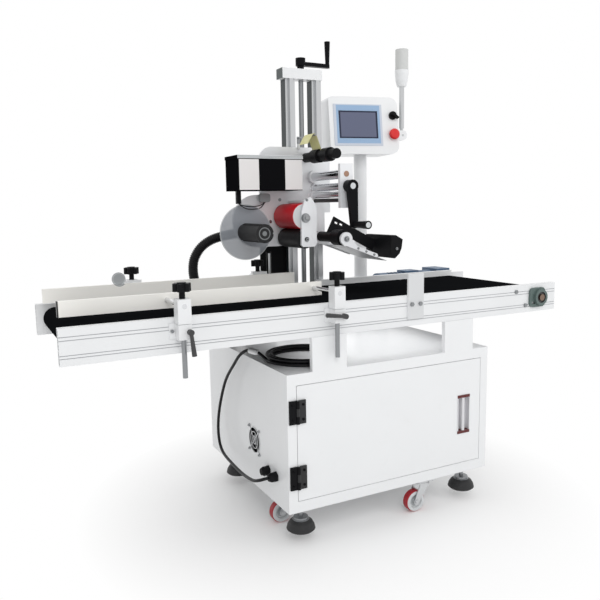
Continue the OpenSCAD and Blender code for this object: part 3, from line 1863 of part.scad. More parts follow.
// Smooth curve through points: cubic segments with shared slopes
function curve_at(p, i, t) =
    let (a = p[max(i - 1, 0)], b = p[i], c = p[i + 1], d = p[min(i + 2, len(p) - 1)])
    b + 0.5 * t * (c - a) + t * t * (a - 2.5 * b + 2 * c - 0.5 * d)
    + t * t * t * (-0.5 * a + 1.5 * b - 1.5 * c + 0.5 * d);
function curve(p, steps) = [for (i = [0 : len(p) - 2], k = [0 : steps - 1])
    curve_at(p, i, k / steps), p[len(p) - 1]];
function unit(v) = v / norm(v);
function tangent(p, i) = unit(p[min(i + 1, len(p) - 1)] - p[max(i - 1, 0)]);
// Frame carried along the path without twist
function frames(p, i = 0, n = undef) =
    i == len(p) ? []
    : let (t = tangent(p, i),
        up = is_undef(n) ? (abs(t[2]) > 0.9 ? [0, 1, 0] : [0, 0, 1]) : n,
        side = unit(up - (up * t) * t))
    concat([[side, cross(t, side)]], frames(p, i + 1, side));
function ring(c, f, r, sides) = [for (k = [0 : sides - 1])
    c + r * cos(360 * k / sides) * f[0] + r * sin(360 * k / sides) * f[1]];

// Closed tube through the points, with one radius for each point
module tube(p, radii, sides) {
    f = frames(p);
    n = len(p);
    points = [for (i = [0 : n - 1]) each ring(p[i], f[i], radii[i], sides)];
    walls = [for (i = [0 : n - 2], k = [0 : sides - 1]) each
        let (a = i * sides + k, b = i * sides + (k + 1) % sides)
        [[a, a + sides, b + sides], [a, b + sides, b]]];
    ends = [[for (k = [0 : sides - 1]) k], [for (k = [sides - 1 : -1 : 0]) (n - 1) * sides + k]];
    polyhedron(points, concat(walls, ends), convexity = 8);
}

// Ribbed hose: p carries the ribs outside, q the plain bore inside
module ribbed_hose(p, q, r_rib, r_root, r_bore, sides) {
    f = frames(p);
    g = frames(q);
    n = len(p) - 1;
    w = len(q) - 1;
    m = len(p) * sides;
    outer = [for (i = [0 : n]) each ring(p[i], f[i], i % 2 == 0 ? r_rib : r_root, sides)];
    inner = [for (i = [0 : w]) each ring(q[i], g[i], r_bore, sides)];
    skin = [for (i = [0 : n - 1], k = [0 : sides - 1]) each
        let (a = i * sides + k, b = i * sides + (k + 1) % sides)
        [[a, a + sides, b + sides], [a, b + sides, b]]];
    bore = [for (i = [0 : w - 1], k = [0 : sides - 1]) each
        let (a = m + i * sides + k, b = m + i * sides + (k + 1) % sides)
        [[a, b + sides, a + sides], [a, b, b + sides]]];
    caps = [for (k = [0 : sides - 1]) each
        let (j = (k + 1) % sides, z = n * sides, y = m + w * sides)
        [[k, j, m + j], [k, m + j, m + k], [z + k, y + j, z + j], [z + k, y + k, y + j]]];
    polyhedron(concat(outer, inner), concat(skin, bore, caps), convexity = 10);
}

// Route of the lead from the lower gland up the left wall and over the cabinet's edge
side_route = [[-228, 74, 179], [-240, 74, 179], [-251, 84, 174], [-255, 120, 162],
    [-251, 200, 150], [-246, 300, 147], [-241, 385, 152], [-237, 428, 178], [-234, 440, 230],
    [-232, 420, 300], [-230, 370, 385], [-228, 300, cab_z1 - 28], [-224, 262, cab_z1 + 6],
    [-212, 238, cab_z1 + 22], [-199, 214, cab_z1 + 25], [-190, 192, cab_z1 + 17],
    [-185, 174, cab_z1 + 9], [-184, 162, cab_z1 + 5], [-184, 152, cab_z1 + 5]];
side_steps = 3;

// Coil on the cabinet top: two layers of loops, inwards below and outwards above
coil_x = -72;
coil_y = 152;
coil_r = 112;
coil_turns = 2;
coil_pitch = 10.5;
coil_rise = 10;
coil_z = cab_z1 + 5;
coil_rings = 24;
full_turn = 360;
coil_tail = [[38, 186, cab_z1 + 17], [39, 214, cab_z1 + 25], [45, 242, cab_z1 + 40],
    [53, 266, cab_z1 + 55], [58, 284, cab_z1 + 61], [60, 296, cab_z1 + 53],
    [60, 300, cab_z1 + 37], [60, 300, cab_z1 + gland_len]];
function spiral(a, r, z) = [coil_x - r * cos(a), coil_y - r * sin(a), z];
coil_low = [for (i = [0 : coil_turns * coil_rings])
    spiral(i * full_turn / coil_rings, coil_r - i * coil_pitch / coil_rings, coil_z)];
coil_high = [for (i = [1 : coil_turns * coil_rings + coil_rings / 2])
    let (s = i / coil_rings)
    spiral(s * full_turn, coil_r - coil_turns * coil_pitch + max(s - 0.5, 0) * coil_pitch,
        coil_z + coil_rise * min(2 * s, 1))];
coil_path = concat(coil_low, coil_high, coil_tail);
function apart(p, i, j) = norm(p[i] - p[j]);
coil_gap = min([for (i = [0 : len(coil_path) - 1], j = [i + 8 : 1 : len(coil_path) - 1])
    apart(coil_path, i, j)]) - cable_d;
echo(coil_gap = coil_gap);

module side_cable() {
    p = curve(side_route, side_steps);
    color("black")
        stand()
            tube(p, [for (q = p) cable_d / 2], 8);
}

module cable_coil() {
    color("black")
        stand()
            tube(coil_path, [for (q = coil_path) cable_d / 2], 6);
}

// Ribbed conduit from the lift carriage, behind the head plate, down to the cabinet top
hose_route = [[-70.6, 448, 832], [-86, 448, 832], [-130, 448, 829], [-187, 448, 821],
    [-229, 452, 810], [-262, 458, 788], [-282, 465, 756], [-287, 470, 722], [-280, 477, 682],
    [-258, 485, 635], [-225, 493, 590], [-188, 499, cab_z1 + 72], [-165, 500, cab_z1 + 44],
    [-160, 500, cab_z1 + 32], [-160, 500, cab_z1 + gland_len]];
hose_ribs = 96;
rib_deep = 2;
hose_wall = 4;
hose_steps = 24;
function along(fine, s) = let (k = s * (len(fine) - 1), j = min(floor(k), len(fine) - 2))
    fine[j] + (k - j) * (fine[j + 1] - fine[j]);

module head_conduit() {
    fine = curve(hose_route, hose_steps);
    n = 2 * hose_ribs;
    m = hose_ribs / 2;
    color("black")
        stand()
            ribbed_hose([for (i = [0 : n]) along(fine, i / n)],
                [for (i = [0 : m]) along(fine, i / m)],
                hose_d / 2, hose_d / 2 - rib_deep, hose_d / 2 - hose_wall, 8);
}

cabinet_shell();
cabinet_door();
door_fittings();
door_hinges();
electrical_panel();
fan_frame();
fan_rotor();
cable_glands();
levelling_feet();
caster_mounts();
front_left_fork();
front_right_fork();
front_left_wheel();
front_right_wheel();
back_left_wheel();
back_right_wheel();
conveyor_posts();
front_rail();
back_rail();
belt_bed();
conveyor_belt();
drive_roller();
idler_roller();
roller_bearings();
gear_motor();
column_frame();
side_panel();
lift_carriage();
cross_rods();
lift_crank();
side_crank();
head_plate();
drive_box();
web_guides();
nip_bracket();
label_reel();
red_roller();
black_roller();
collar_shaft();
peel_cheeks();
press_unit();
hmi_post();
hmi_box();
hmi_screen();
selector_knob();
estop_button();
signal_lamp();
guide_brackets();
front_guide_blocks();
front_guide();
back_guide();
front_left_knob();
front_right_knob();
back_left_knob();
back_right_knob();
front_left_lever();
front_right_lever();
side_cable();
cable_coil();
head_conduit();
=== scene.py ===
# Looks of the flat surface labeling machine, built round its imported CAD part. Metres, except
# where a note says millimetres.
import math

import bpy
import numpy as np
from mathutils import Matrix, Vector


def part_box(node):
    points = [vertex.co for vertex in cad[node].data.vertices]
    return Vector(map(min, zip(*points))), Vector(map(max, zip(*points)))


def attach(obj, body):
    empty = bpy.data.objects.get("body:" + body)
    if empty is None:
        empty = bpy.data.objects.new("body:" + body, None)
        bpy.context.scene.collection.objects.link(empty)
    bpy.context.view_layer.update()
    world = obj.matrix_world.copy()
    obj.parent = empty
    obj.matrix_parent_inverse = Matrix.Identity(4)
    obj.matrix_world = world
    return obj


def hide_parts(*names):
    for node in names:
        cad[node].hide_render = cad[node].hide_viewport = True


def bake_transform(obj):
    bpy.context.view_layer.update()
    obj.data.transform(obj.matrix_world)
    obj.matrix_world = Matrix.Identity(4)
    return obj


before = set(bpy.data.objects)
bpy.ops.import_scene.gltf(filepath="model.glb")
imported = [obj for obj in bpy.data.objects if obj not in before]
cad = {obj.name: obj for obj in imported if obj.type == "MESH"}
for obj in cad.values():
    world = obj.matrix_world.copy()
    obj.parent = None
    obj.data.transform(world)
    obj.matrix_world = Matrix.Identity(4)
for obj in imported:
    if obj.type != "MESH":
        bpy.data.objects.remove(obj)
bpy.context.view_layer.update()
mm = 0.001
depthShift = 267.275  # millimetres from the front rail's outer face to the frame's middle


# point in metres from millimetres, with y counted from the front rail's outer face
def at(x, y, z):
    return np.array([x, y - depthShift, z]) * mm


# one output socket with arithmetic; every operator adds the matching Math node
class Sig:
    def __init__(self, nodes, out):
        self.nodes, self.out = nodes, out

    def math(self, operation, *others):
        return self.nodes.node("ShaderNodeMath", {"operation": operation}, self, *others)

    def __add__(self, other):
        return self.math("ADD", other)

    def __sub__(self, other):
        return self.math("SUBTRACT", other)

    def __rsub__(self, other):
        return self.nodes.node("ShaderNodeMath", {"operation": "SUBTRACT"}, other, self)

    def __mul__(self, other):
        return self.math("MULTIPLY", other)

    __radd__ = __add__
    __rmul__ = __mul__

    def clamp(self):
        return self.nodes.node("ShaderNodeClamp", {}, self)

    # 0 below the edge and 1 above it, over a width of soft
    def rises(self, edge, soft):
        return ((self - (edge - soft / 2)) * (1 / soft)).clamp()

    # 1 between low and high, 0 outside
    def within(self, low, high, soft=0.0004):
        return self.rises(low, soft) * (1 - self.rises(high, soft))


# sockets of a Mix node that blends colours
mixSockets = {"factor": 0, "first": 6, "second": 7, "result": 2}


# a node tree; node() adds a node of any kind and plugs values or links into its sockets
class Nodes:
    def __init__(self, tree):
        self.tree = tree

    def node(self, kind, settings, *values, out=0, **named):
        made = self.tree.nodes.new(kind)
        for key, value in settings.items():
            setattr(made, key, value)
        for spot, value in list(enumerate(values)) + list(named.items()):
            self.plug(made.inputs[spot], value)
        return Sig(self, made.outputs[out])

    def plug(self, socket, value):
        if isinstance(value, Sig):
            self.tree.links.new(value.out, socket)
        elif value is not None:
            socket.default_value = value


# a material with one Principled shader
class Finish(Nodes):
    def __init__(self, name):
        self.mat = bpy.data.materials.new(name)
        self.mat.use_nodes = True
        super().__init__(self.mat.node_tree)
        self.shader = self.tree.nodes["Principled BSDF"]

    def set(self, **sockets):
        for name, value in sockets.items():
            self.plug(self.shader.inputs[name.replace("_", " ")], value)

    def place(self):
        return self.node("ShaderNodeTexCoord", {}, out="Object")

    def xyz(self):
        split = self.node("ShaderNodeSeparateXYZ", {}, self.place())
        return [Sig(self, out) for out in split.out.node.outputs]

    def noise(self, scale, detail=3, rough=0.5, stretch=None):
        where = self.place()
        if stretch:
            where = self.node("ShaderNodeMapping", {}, where, Scale=stretch)
        return self.node("ShaderNodeTexNoise", {}, where, Scale=scale, Detail=detail,
                         Roughness=rough)

    def mix(self, factor, first, second, blend="MIX"):
        mixed = self.node("ShaderNodeMix", {"data_type": "RGBA", "blend_type": blend},
                          out=mixSockets["result"])
        for name, value in (("factor", factor), ("first", first), ("second", second)):
            self.plug(mixed.out.node.inputs[mixSockets[name]], value)
        return mixed

    def bump(self, height, strength):
        return self.node("ShaderNodeBump", {}, Height=height, Strength=strength, Distance=mm)

    # distance from a line through point along one axis, 0 to 2
    def radius(self, point, axis):
        parts = self.xyz()
        squares = [(parts[i] - float(point[i])).math("POWER", 2.0)
                   for i in range(3) if i != axis]
        return (squares[0] + squares[1]).math("SQRT")


def rgb(r, g, b):
    return (r, g, b, 1.0)


def shade(colour, share):
    return tuple(min(1.0, c * share) for c in colour[:3]) + (1.0,)


# noise that all finishes share, as scale, detail and roughness, how far it moves their
# roughness, and where smears of dust start
wear = {"cloud": (9.0, 4, 0.55), "partedCloud": (9.0, 4), "rough": (45.0, 3),
        "surfaceRough": 0.14, "partedRough": 0.1,
        "smear": (26.0, 6, 0.7), "smearFrom": 0.56, "smearSteep": 5}
dustColour = rgb(0.42, 0.4, 0.36)
coatRoughness = 0.12


# colour that drifts a little over the surface, with a fine bump and smears of dust
def surface(name, colour, rough, metal=0.0, drift=0.05, grain=900.0, grainStrength=0.06,
            stretch=None, coat=0.0, dust=0.0, shine=0.5):
    f = Finish(name)
    cloud = f.noise(*wear["cloud"])
    base = f.mix(cloud, shade(colour, 1 - drift), shade(colour, 1 + drift))
    if dust:
        smear = ((f.noise(*wear["smear"]) - wear["smearFrom"]) * wear["smearSteep"]).clamp()
        base = f.mix(smear * dust, base, dustColour)
    swing = wear["surfaceRough"]
    f.set(Base_Color=base, Metallic=metal, Coat_Weight=coat, Coat_Roughness=coatRoughness,
          Specular_IOR_Level=shine,
          Roughness=f.noise(*wear["rough"]) * swing + (rough - swing / 2),
          Normal=f.bump(f.noise(grain, 2, 0.5, stretch), grainStrength))
    return f


whitePaint = surface("powderWhite", rgb(0.80, 0.81, 0.82), 0.36, drift=0.02, grain=1400,
                     grainStrength=0.1, dust=0.05, coat=0.15)
whiteProfile = surface("anodisedWhite", rgb(0.80, 0.81, 0.83), 0.34, metal=0.25, drift=0.02,
                       grain=300, stretch=(0.02, 1, 1), grainStrength=0.05)
beltBlack = surface("beltWeave", rgb(0.007, 0.0075, 0.0085), 0.6, drift=0.15, grain=1800,
                    grainStrength=0.35, shine=0.0)
brightSteel = surface("groundSteel", rgb(0.62, 0.63, 0.64), 0.3, metal=1.0, drift=0.06,
                      grain=500, stretch=(1, 1, 0.05), grainStrength=0.08)
boltSteel = surface("boltSteel", rgb(0.34, 0.35, 0.36), 0.28, metal=1.0, grain=600)
copper = surface("copperNut", rgb(0.42, 0.26, 0.19), 0.36, metal=1.0, grain=500,
                 grainStrength=0.05)
motorGrey = surface("motorPaint", rgb(0.06, 0.11, 0.19), 0.42, drift=0.06, grain=500,
                    grainStrength=0.25)
blackPlastic = surface("blackPlastic", rgb(0.009, 0.009, 0.01), 0.38, drift=0.2, grain=1500,
                       grainStrength=0.2, shine=0.07)
blackMetal = surface("blackSatin", rgb(0.008, 0.008, 0.009), 0.3, drift=0.2, grain=1200,
                     grainStrength=0.08, shine=0.06)
hoseBlack = surface("hoseBlack", rgb(0.009, 0.009, 0.01), 0.36, drift=0.1, grain=900,
                    grainStrength=0.05, shine=0.2)
rollerBlack = surface("rollerBlack", rgb(0.012, 0.012, 0.013), 0.5, drift=0.2, grain=600,
                      grainStrength=0.15, shine=0.15)
lampWhite = surface("lampWhite", rgb(0.74, 0.75, 0.76), 0.32, drift=0.02, grain=700,
                    grainStrength=0.03)


def coat(finish, *names):
    for name in names:
        for entry in cad[name].material_slots:
            entry.material = finish.mat


coat(whitePaint, "cabinet_shell", "cabinet_door", "conveyor_posts", "hmi_post", "hmi_box")
coat(whiteProfile, "lift_carriage", "head_plate", "nip_bracket", "peel_cheeks")
coat(beltBlack, "conveyor_belt")
coat(brightSteel, "idler_roller", "belt_bed", "caster_mounts", "front_left_fork",
     "front_right_fork")
coat(motorGrey, "gear_motor")
coat(blackPlastic, "cable_glands", "selector_knob", "press_unit", "front_left_knob",
     "front_right_knob", "back_left_knob", "back_right_knob", "collar_shaft")
coat(blackMetal, "door_hinges")
coat(rollerBlack, "black_roller")


# mask that is 1 inside a region: ranges along x, y or z in millimetres, and for a disc or
# ring also two radii round a line along an axis through a point
def inside(f, region):
    mask = 1.0
    if "radii" in region:
        axis = "xyz".index(region["about"])
        low, high = region["radii"]
        mask = f.radius(at(*region["point"]), axis).within(low * mm, high * mm, 0.0003)
    parts = dict(zip("xyz", f.xyz()))
    for axis in (key for key in region if key in parts):
        shift = depthShift if axis == "y" else 0
        low, high = [(edge - shift) * mm for edge in region[axis]]
        mask = parts[axis].within(low, high) * mask
    return mask


# region of a disc, or of a ring where an inner radius is given
def disc(point, outer, inner=-1, about="y", **ranges):
    return {"point": point, "radii": (inner, outer), "about": about, **ranges}


# colour, roughness and metal share of each tone
tones = {
    "steel": (rgb(0.60, 0.61, 0.62), 0.3, 1.0), "chrome": (rgb(0.75, 0.76, 0.78), 0.13, 1.0),
    "iron": (rgb(0.30, 0.31, 0.32), 0.3, 1.0), "bronze": (rgb(0.24, 0.17, 0.13), 0.35, 1.0),
    "satin": (rgb(0.74, 0.74, 0.76), 0.4, 0.5), "dull": (rgb(0.06, 0.06, 0.062), 0.45, 0.3),
    "slate": (rgb(0.08, 0.095, 0.095), 0.5, 0.2),
    # painted shade: a dark tone put on the column's left faces, which face away from the light
    "recess": (rgb(0.026, 0.034, 0.037), 0.45, 0.2),
    "white": (rgb(0.80, 0.81, 0.82), 0.36, 0.0), "cream": (rgb(0.97, 0.955, 0.91), 0.38, 0.0),
    "linen": (rgb(0.79, 0.77, 0.765), 0.3, 0.0), "pale": (rgb(0.62, 0.64, 0.65), 0.35, 0.0),
    "lens": (rgb(0.60, 0.61, 0.60), 0.2, 0.0), "grey": (rgb(0.40, 0.42, 0.43), 0.45, 0.0),
    # boxGreyAndSlotShade: the grey of one electrics box, and painted shade in the rail profile's
    # slots
    "boxGreyAndSlotShade": (rgb(0.42, 0.43, 0.45), 0.5, 0.0), "disc": (rgb(0.60, 0.64, 0.70), 0.12, 0.0),
    "black": (rgb(0.006, 0.006, 0.007), 0.34, 0.0),
    "gloss": (rgb(0.006, 0.006, 0.007), 0.08, 0.0),
    "rubber": (rgb(0.02, 0.02, 0.021), 0.55, 0.0), "red": (rgb(0.36, 0.007, 0.016), 0.4, 0.0),
    "ruby": (rgb(0.56, 0.009, 0.019), 0.4, 0.0),
    "darkRed": (rgb(0.10, 0.008, 0.008), 0.35, 0.0),
    "bright": (rgb(0.66, 0.02, 0.02), 0.35, 0.0), "moss": (rgb(0.10, 0.14, 0.132), 0.5, 0.0),
    "mist": (rgb(0.58, 0.62, 0.70), 0.35, 0.0), "blue": (rgb(0.30, 0.44, 0.63), 0.3, 0.0),
    "navy": (rgb(0.006, 0.010, 0.035), 0.16, 0.0),
    "screen": (rgb(0.11, 0.125, 0.20), 0.12, 0.0)}
cloudDark, cloudLight = rgb(0.93, 0.93, 0.93), rgb(1, 1, 1)


# finish of one tone, with others inside their regions; later regions lie over earlier ones
def parted(name, base, parts, grain=800, strength=0.08, alpha=None, shine=0.5):
    f = Finish(name)
    colour, rough, metal = tones[base]
    cloud = f.noise(*wear["partedCloud"])
    for region, tone in parts:
        mask = region(f) if callable(region) else inside(f, region)
        to, toRough, toMetal = tones[tone]
        colour = f.mix(mask, colour, to)
        rough = mask * (toRough - rough) + rough
        metal = mask * (toMetal - metal) + metal
    swing = wear["partedRough"]
    f.set(Base_Color=f.mix(1.0, colour, f.mix(cloud, cloudDark, cloudLight), "MULTIPLY"),
          Roughness=f.noise(*wear["rough"]) * swing + (rough - swing / 2), Metallic=metal,
          Normal=f.bump(f.noise(grain, 2), strength), Specular_IOR_Level=shine,
          Alpha=alpha(f) if alpha else None)
    return f


# black drive box with plates on its front, a lid with two seams, and studs above
driveBox = {"left": -190, "width": 208, "front": (300, 316.8), "plates": (956, 1046),
            "shares": ((0.01, 0.31, "linen"), (0.325, 0.7, "gloss"), (0.72, 0.995, "linen")),
            "lid": (1047.3, 1058), "seams": ((1050, 1050.8), (1053.6, 1054.4)),
            "studs": (1100, 1240)}
coat(parted("driveBoxPaint", "black", [
    ({"x": [driveBox["left"] + share * driveBox["width"] for share in pair],
      "y": driveBox["front"], "z": driveBox["plates"]}, tone)
    for *pair, tone in driveBox["shares"]] + [
    ({"y": driveBox["front"], "z": driveBox["lid"]}, "pale")] + [
    ({"y": driveBox["front"], "z": seam}, "slate") for seam in driveBox["seams"]] + [
    ({"z": driveBox["studs"]}, "steel")], shine=0.0), "drive_box")

# column: the uprights' left faces get painted shade; the cap's left end gets a dark grey that is
# partly its dark metal and partly painted shade
column = {"shadedLeftFaces": ({"x": (43.6, 44.5), "z": (500, 1311)},
                        {"x": (139.6, 140.5), "z": (500, 1311)}),
          "backFace": {"y": (463, 475.2), "z": (495, 1311)},
          "capEnd": {"x": (29.5, 30.6), "z": (1310, 1344)}}
coat(parted("columnPaintAndShade", "white", [(face, "recess") for face in column["shadedLeftFaces"]] + [
    (column["backFace"], "steel"), (column["capEnd"], "slate")], strength=0.04),
     "column_frame")

lift = {"screw": {"z": (400, 1343)}}
coat(parted("liftScrew", "black", [(lift["screw"], "iron")], shine=0.06), "lift_crank")

sideCrank = {"screw": {"y": (195.5, 460)}, "hub": disc((105, 167, 963), 9, y=(160, 167.6)),
             "gripEnd": disc((111.8, 98, 851.2), 8, y=(90, 98.6))}
coat(parted("crossScrew", "black", [
    (sideCrank["screw"], "chrome"), (sideCrank["hub"], "pale"),
    (sideCrank["gripEnd"], "pale")], shine=0.06), "side_crank")

rods = {"lowest": {"z": (910, 930)}}
coat(parted("slideRods", "chrome", [(rods["lowest"], "black")], strength=0.02), "cross_rods")

webGuides = {"hanger": {"x": (-184, -169), "z": (915, 956)},
             "sensor": {"x": (-94, -58), "y": (380, 399), "z": (920, 948)},
             "bar": {"z": (1100, 1140)}}
coat(parted("webGuides", "steel", [
    (webGuides["hanger"], "black"), (webGuides["sensor"], "grey"),
    (webGuides["bar"], "iron")], shine=0.05), "web_guides")

sidePanel = {"rod": {"x": (-24, -16), "z": (690, 756)}}
coat(parted("sidePanelPaint", "black", [(sidePanel["rod"], "steel")], shine=0.06),
     "side_panel")

door = {"leaves": {"x": (-210, -150)}, "handleEnds": ({"x": (340, 420), "z": (215, 231.5)},
                                                      {"x": (340, 420), "z": (332.5, 350)})}
coat(parted("doorMetal", "satin", [(door["leaves"], "black")] + [
    (end, "darkRed") for end in door["handleEnds"]]), "door_fittings")

reelCentre = (-151, 300, 832)
reel = {"disc": {"y": (366, 373)}, "rim": disc(reelCentre, 90, 81, y=(360, 373)),
        "coreRing": disc(reelCentre, 18, 15, y=(220, 229)),
        "coreMiddle": disc(reelCentre, 7, y=(220, 229)), "discClear": 0.5}
coat(parted("labelReel", "rubber", [
    (reel["disc"], "disc"), (reel["rim"], "pale"), (reel["coreRing"], "grey"),
    (reel["coreMiddle"], "grey")],
    alpha=lambda f: 1 - inside(f, reel["disc"]) * reel["discClear"], shine=0.2), "label_reel")

redRoller = {"end": disc((-7, 300, 877), 36.5, y=(255, 264))}
coat(parted("redRubber", "ruby", [(redRoller["end"], "pale")], grain=500, strength=0.2,
            shine=0.3), "red_roller")

wheels = {"sides": ("front_left", "front_right", "back_left", "back_right"),
          "rim": 30, "web": 15, "axle": 7}
for side in wheels["sides"]:
    low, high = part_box(side + "_wheel")
    hub = [(low[i] + high[i]) / 2 / mm + (depthShift if i == 1 else 0) for i in range(3)]
    coat(parted(side + "Tyre", "red", [
        (disc(hub, wheels["rim"], wheels["web"]), "pale"), (disc(hub, wheels["web"]), "grey"),
        (disc(hub, wheels["axle"]), "steel")], grain=400, strength=0.15), side + "_wheel")

driveEnd = {"axis": (678, 0, 613), "bolts": ((585.2, 635.2), (624.2, 590.8)),
            "boltRadius": 8, "boltDepth": (-9, 0.5), "seal": 17.5, "sealDepth": (-20, -11),
            "shaft": 11, "shaftDepth": (-40, 0)}
coat(parted("castGreen", "moss", [
    (disc((x, 0, z), driveEnd["boltRadius"], y=driveEnd["boltDepth"]), "iron")
    for x, z in driveEnd["bolts"]] + [
    (disc(driveEnd["axis"], driveEnd["seal"], y=driveEnd["sealDepth"]), "dull")],
    grain=420, strength=0.35), "roller_bearings")
coat(parted("driveShaft", "steel", [
    (disc(driveEnd["axis"], driveEnd["shaft"], y=driveEnd["shaftDepth"]), "bronze")]),
     "drive_roller")

# rails: painted shade of the profile's slots, as grey bands on its outer face at shares of its
# height
rails = {"low": 569, "tall": 85, "shares": (0.19, 0.27, 0.665, 0.76), "slot": (-0.3, 1.7),
         "outer": {"front_rail": (-1, 1), "back_rail": (451, 453)}}
slots = [[rails["low"] + share * rails["tall"] + edge for edge in rails["slot"]]
         for share in rails["shares"]]
for node, outer in rails["outer"].items():
    coat(parted(node + "Finish", "white", [({"y": outer, "z": slot}, "boxGreyAndSlotShade")
                                           for slot in slots], grain=300, strength=0.04), node)

# rail clamps and guides: x of the two clamps is shared by all their pieces
clamps = {"x": (-476, -62), "bolt": (-22.6, 0, 624), "boltRadius": 6, "boltDepth": (-30, -4.1),
          "plateBolts": {"x": (165, 262), "y": (-30, -6.1), "z": (580, 720)},
          "post": (-20, 600), "postRadius": 6.3, "postUp": (400, 642.6),
          "rod": (0, 684), "rodRadius": 6.4, "rodRun": (-80, 106.6)}
guides = {"frontEnd": {"x": (-740, -732.5)}, "backRods": {"y": (391.4, 560)},
          "reflector": (-531, 380, 713), "reflectorDepth": (370, 392),
          "reflectorRadius": 20, "reflectorRing": (15.5, 17)}
coat(parted("railClamps", "white", [
    (disc((x + clamps["bolt"][0], *clamps["bolt"][1:]), clamps["boltRadius"],
          y=clamps["boltDepth"]), "iron") for x in clamps["x"]] + [
    (clamps["plateBolts"], "iron")]), "guide_brackets")
coat(parted("guideBlocks", "white", [
    (disc((x, *clamps["post"]), clamps["postRadius"], about="z", z=clamps["postUp"]), "iron")
    for x in clamps["x"]]), "front_guide_blocks")
coat(parted("frontGuide", "cream", [(guides["frontEnd"], "black")] + [
    (disc((x, *clamps["rod"]), clamps["rodRadius"], y=clamps["rodRun"]), "chrome")
    for x in clamps["x"]], grain=300, strength=0.04), "front_guide")
coat(parted("backGuide", "cream", [
    (guides["backRods"], "chrome"),
    (disc(guides["reflector"], guides["reflectorRadius"], y=guides["reflectorDepth"]), "grey"),
    (disc(guides["reflector"], *guides["reflectorRing"][::-1], y=guides["reflectorDepth"]),
     "pale")], grain=300, strength=0.04), "back_guide")
for side in ("front_left", "front_right"):
    coat(parted(side + "Lever", "dull", [], strength=0.15, shine=0.3), side + "_lever")

coat(parted("estopPaint", "bright", [], grain=300, strength=0.05), "estop_button")
feet = {"studs": {"z": (59, 120)}}
coat(parted("feet", "rubber", [(feet["studs"], "iron")], grain=500, strength=0.15, shine=0.4),
     "levelling_feet")
fan = {"guard": {"x": (-212, -204.2)}, "hub": disc((-190, 218, 238), 15, about="x")}
coat(parted("fanGuard", "black", [(fan["guard"], "steel")], shine=0.2), "fan_frame")
coat(parted("fanBlades", "dull", [(fan["hub"], "grey")]), "fan_rotor")

# electrical panel: shares of its width and height where each box starts, and its size
gear = {"boxes": ((0.02, 0.56, 0.24, 0.36, "black"), (0.3, 0.56, 0.2, 0.36, "grey"),
                  (0.54, 0.56, 0.42, 0.36, "pale"), (0.02, 0.08, 0.4, 0.3, "boxGreyAndSlotShade"),
                  (0.46, 0.08, 0.22, 0.3, "black"), (0.72, 0.08, 0.24, 0.3, "pale")),
        "depth": (-1, 69.6), "over": 0.4}
low, high = [[c / mm for c in corner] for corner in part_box("electrical_panel")]
wide, tall, front = high[0] - low[0], high[2] - low[2], low[1] + depthShift
coat(parted("electrics", "satin", [
    ({"x": (low[0] + x * wide - gear["over"], low[0] + (x + w) * wide + gear["over"]),
      "y": [front + edge for edge in gear["depth"]],
      "z": (low[2] + z * tall - gear["over"], low[2] + (z + h) * tall + gear["over"])}, tone)
    for x, z, w, h, tone in gear["boxes"]]), "electrical_panel")

# touch panel: corner of its leaning face from the swivel, in metres; masks in millimetres
panel = {"swivel": (334, 490, 1076), "turn": -12, "corner": (-0.129, -0.0755, 0),
         "lean": 28 / 189, "border": ((24.4, 178.2), (35.2, 162.3)),
         "bezel": ((33, 169.5), (52, 143.7)), "screen": ((39, 163.5), (57, 138.7))}
facePlace = Matrix.Translation(at(*panel["swivel"])) \
    @ Matrix.Rotation(math.radians(panel["turn"]), 4, "Z") \
    @ Matrix.Translation(panel["corner"]) @ Matrix.Rotation(-math.atan(panel["lean"]), 4, "X")


# mask on the panel's face: ranges in millimetres right along it and up its slope
def onFace(right, up):
    def mask(f):
        parts = f.xyz()
        rows = facePlace.inverted()
        across, rise = [parts[0] * rows[i][0] + parts[1] * rows[i][1] + parts[2] * rows[i][2]
                        + rows[i][3] for i in (0, 2)]
        return across.within(right[0] * mm, right[1] * mm) * rise.within(up[0] * mm, up[1] * mm)
    return mask


coat(parted("panelScreen", "mist", [
    (onFace(*panel["border"]), "blue"), (onFace(*panel["bezel"]), "navy"),
    (onFace(*panel["screen"]), "screen")], strength=0.02), "hmi_screen")

lampParts = {"lens": 68, "body": 56, "above": 1500}
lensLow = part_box("signal_lamp")[1][2] / mm - lampParts["lens"]
coat(parted("lampPlastic", "white", [
    ({"z": (lensLow, lampParts["above"])}, "lens"),
    ({"z": (0, lensLow - lampParts["body"])}, "steel")], strength=0.02), "signal_lamp")
print("finishes done")


# faces of a closed tube of points, row by row: quads between the rows and a cap at each end
def tubeFaces(rows, cols, start=0):
    i, j = np.meshgrid(np.arange(rows - 1), np.arange(cols), indexing="ij")
    k = (j + 1) % cols
    quads = np.stack([i * cols + j, i * cols + k, (i + 1) * cols + k, (i + 1) * cols + j], -1)
    first = start + np.arange(cols)
    return (quads.reshape(-1, 4) + start).tolist() \
        + [first[::-1].tolist(), (first + (rows - 1) * cols).tolist()]


# piece from points and faces, which rides on a body and keeps its finish's slot
def meshPiece(name, points, faces, finish, body, rounded=True):
    mesh = bpy.data.meshes.new(name)
    mesh.from_pydata(np.asarray(points, float).tolist(), [], faces)
    mesh.update()
    if rounded:
        mesh.polygons.foreach_set("use_smooth", [True] * len(mesh.polygons))
    piece = bpy.data.objects.new(name, mesh)
    bpy.context.collection.objects.link(piece)
    mesh.materials.append(finish.mat)
    if body:
        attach(piece, body)
    return piece


# closed tube from a grid of points: rows, columns, 3
def gridPiece(name, grid, finish, body, rounded=True):
    return meshPiece(name, grid.reshape(-1, 3), tubeFaces(*grid.shape[:2]), finish, body,
                     rounded)


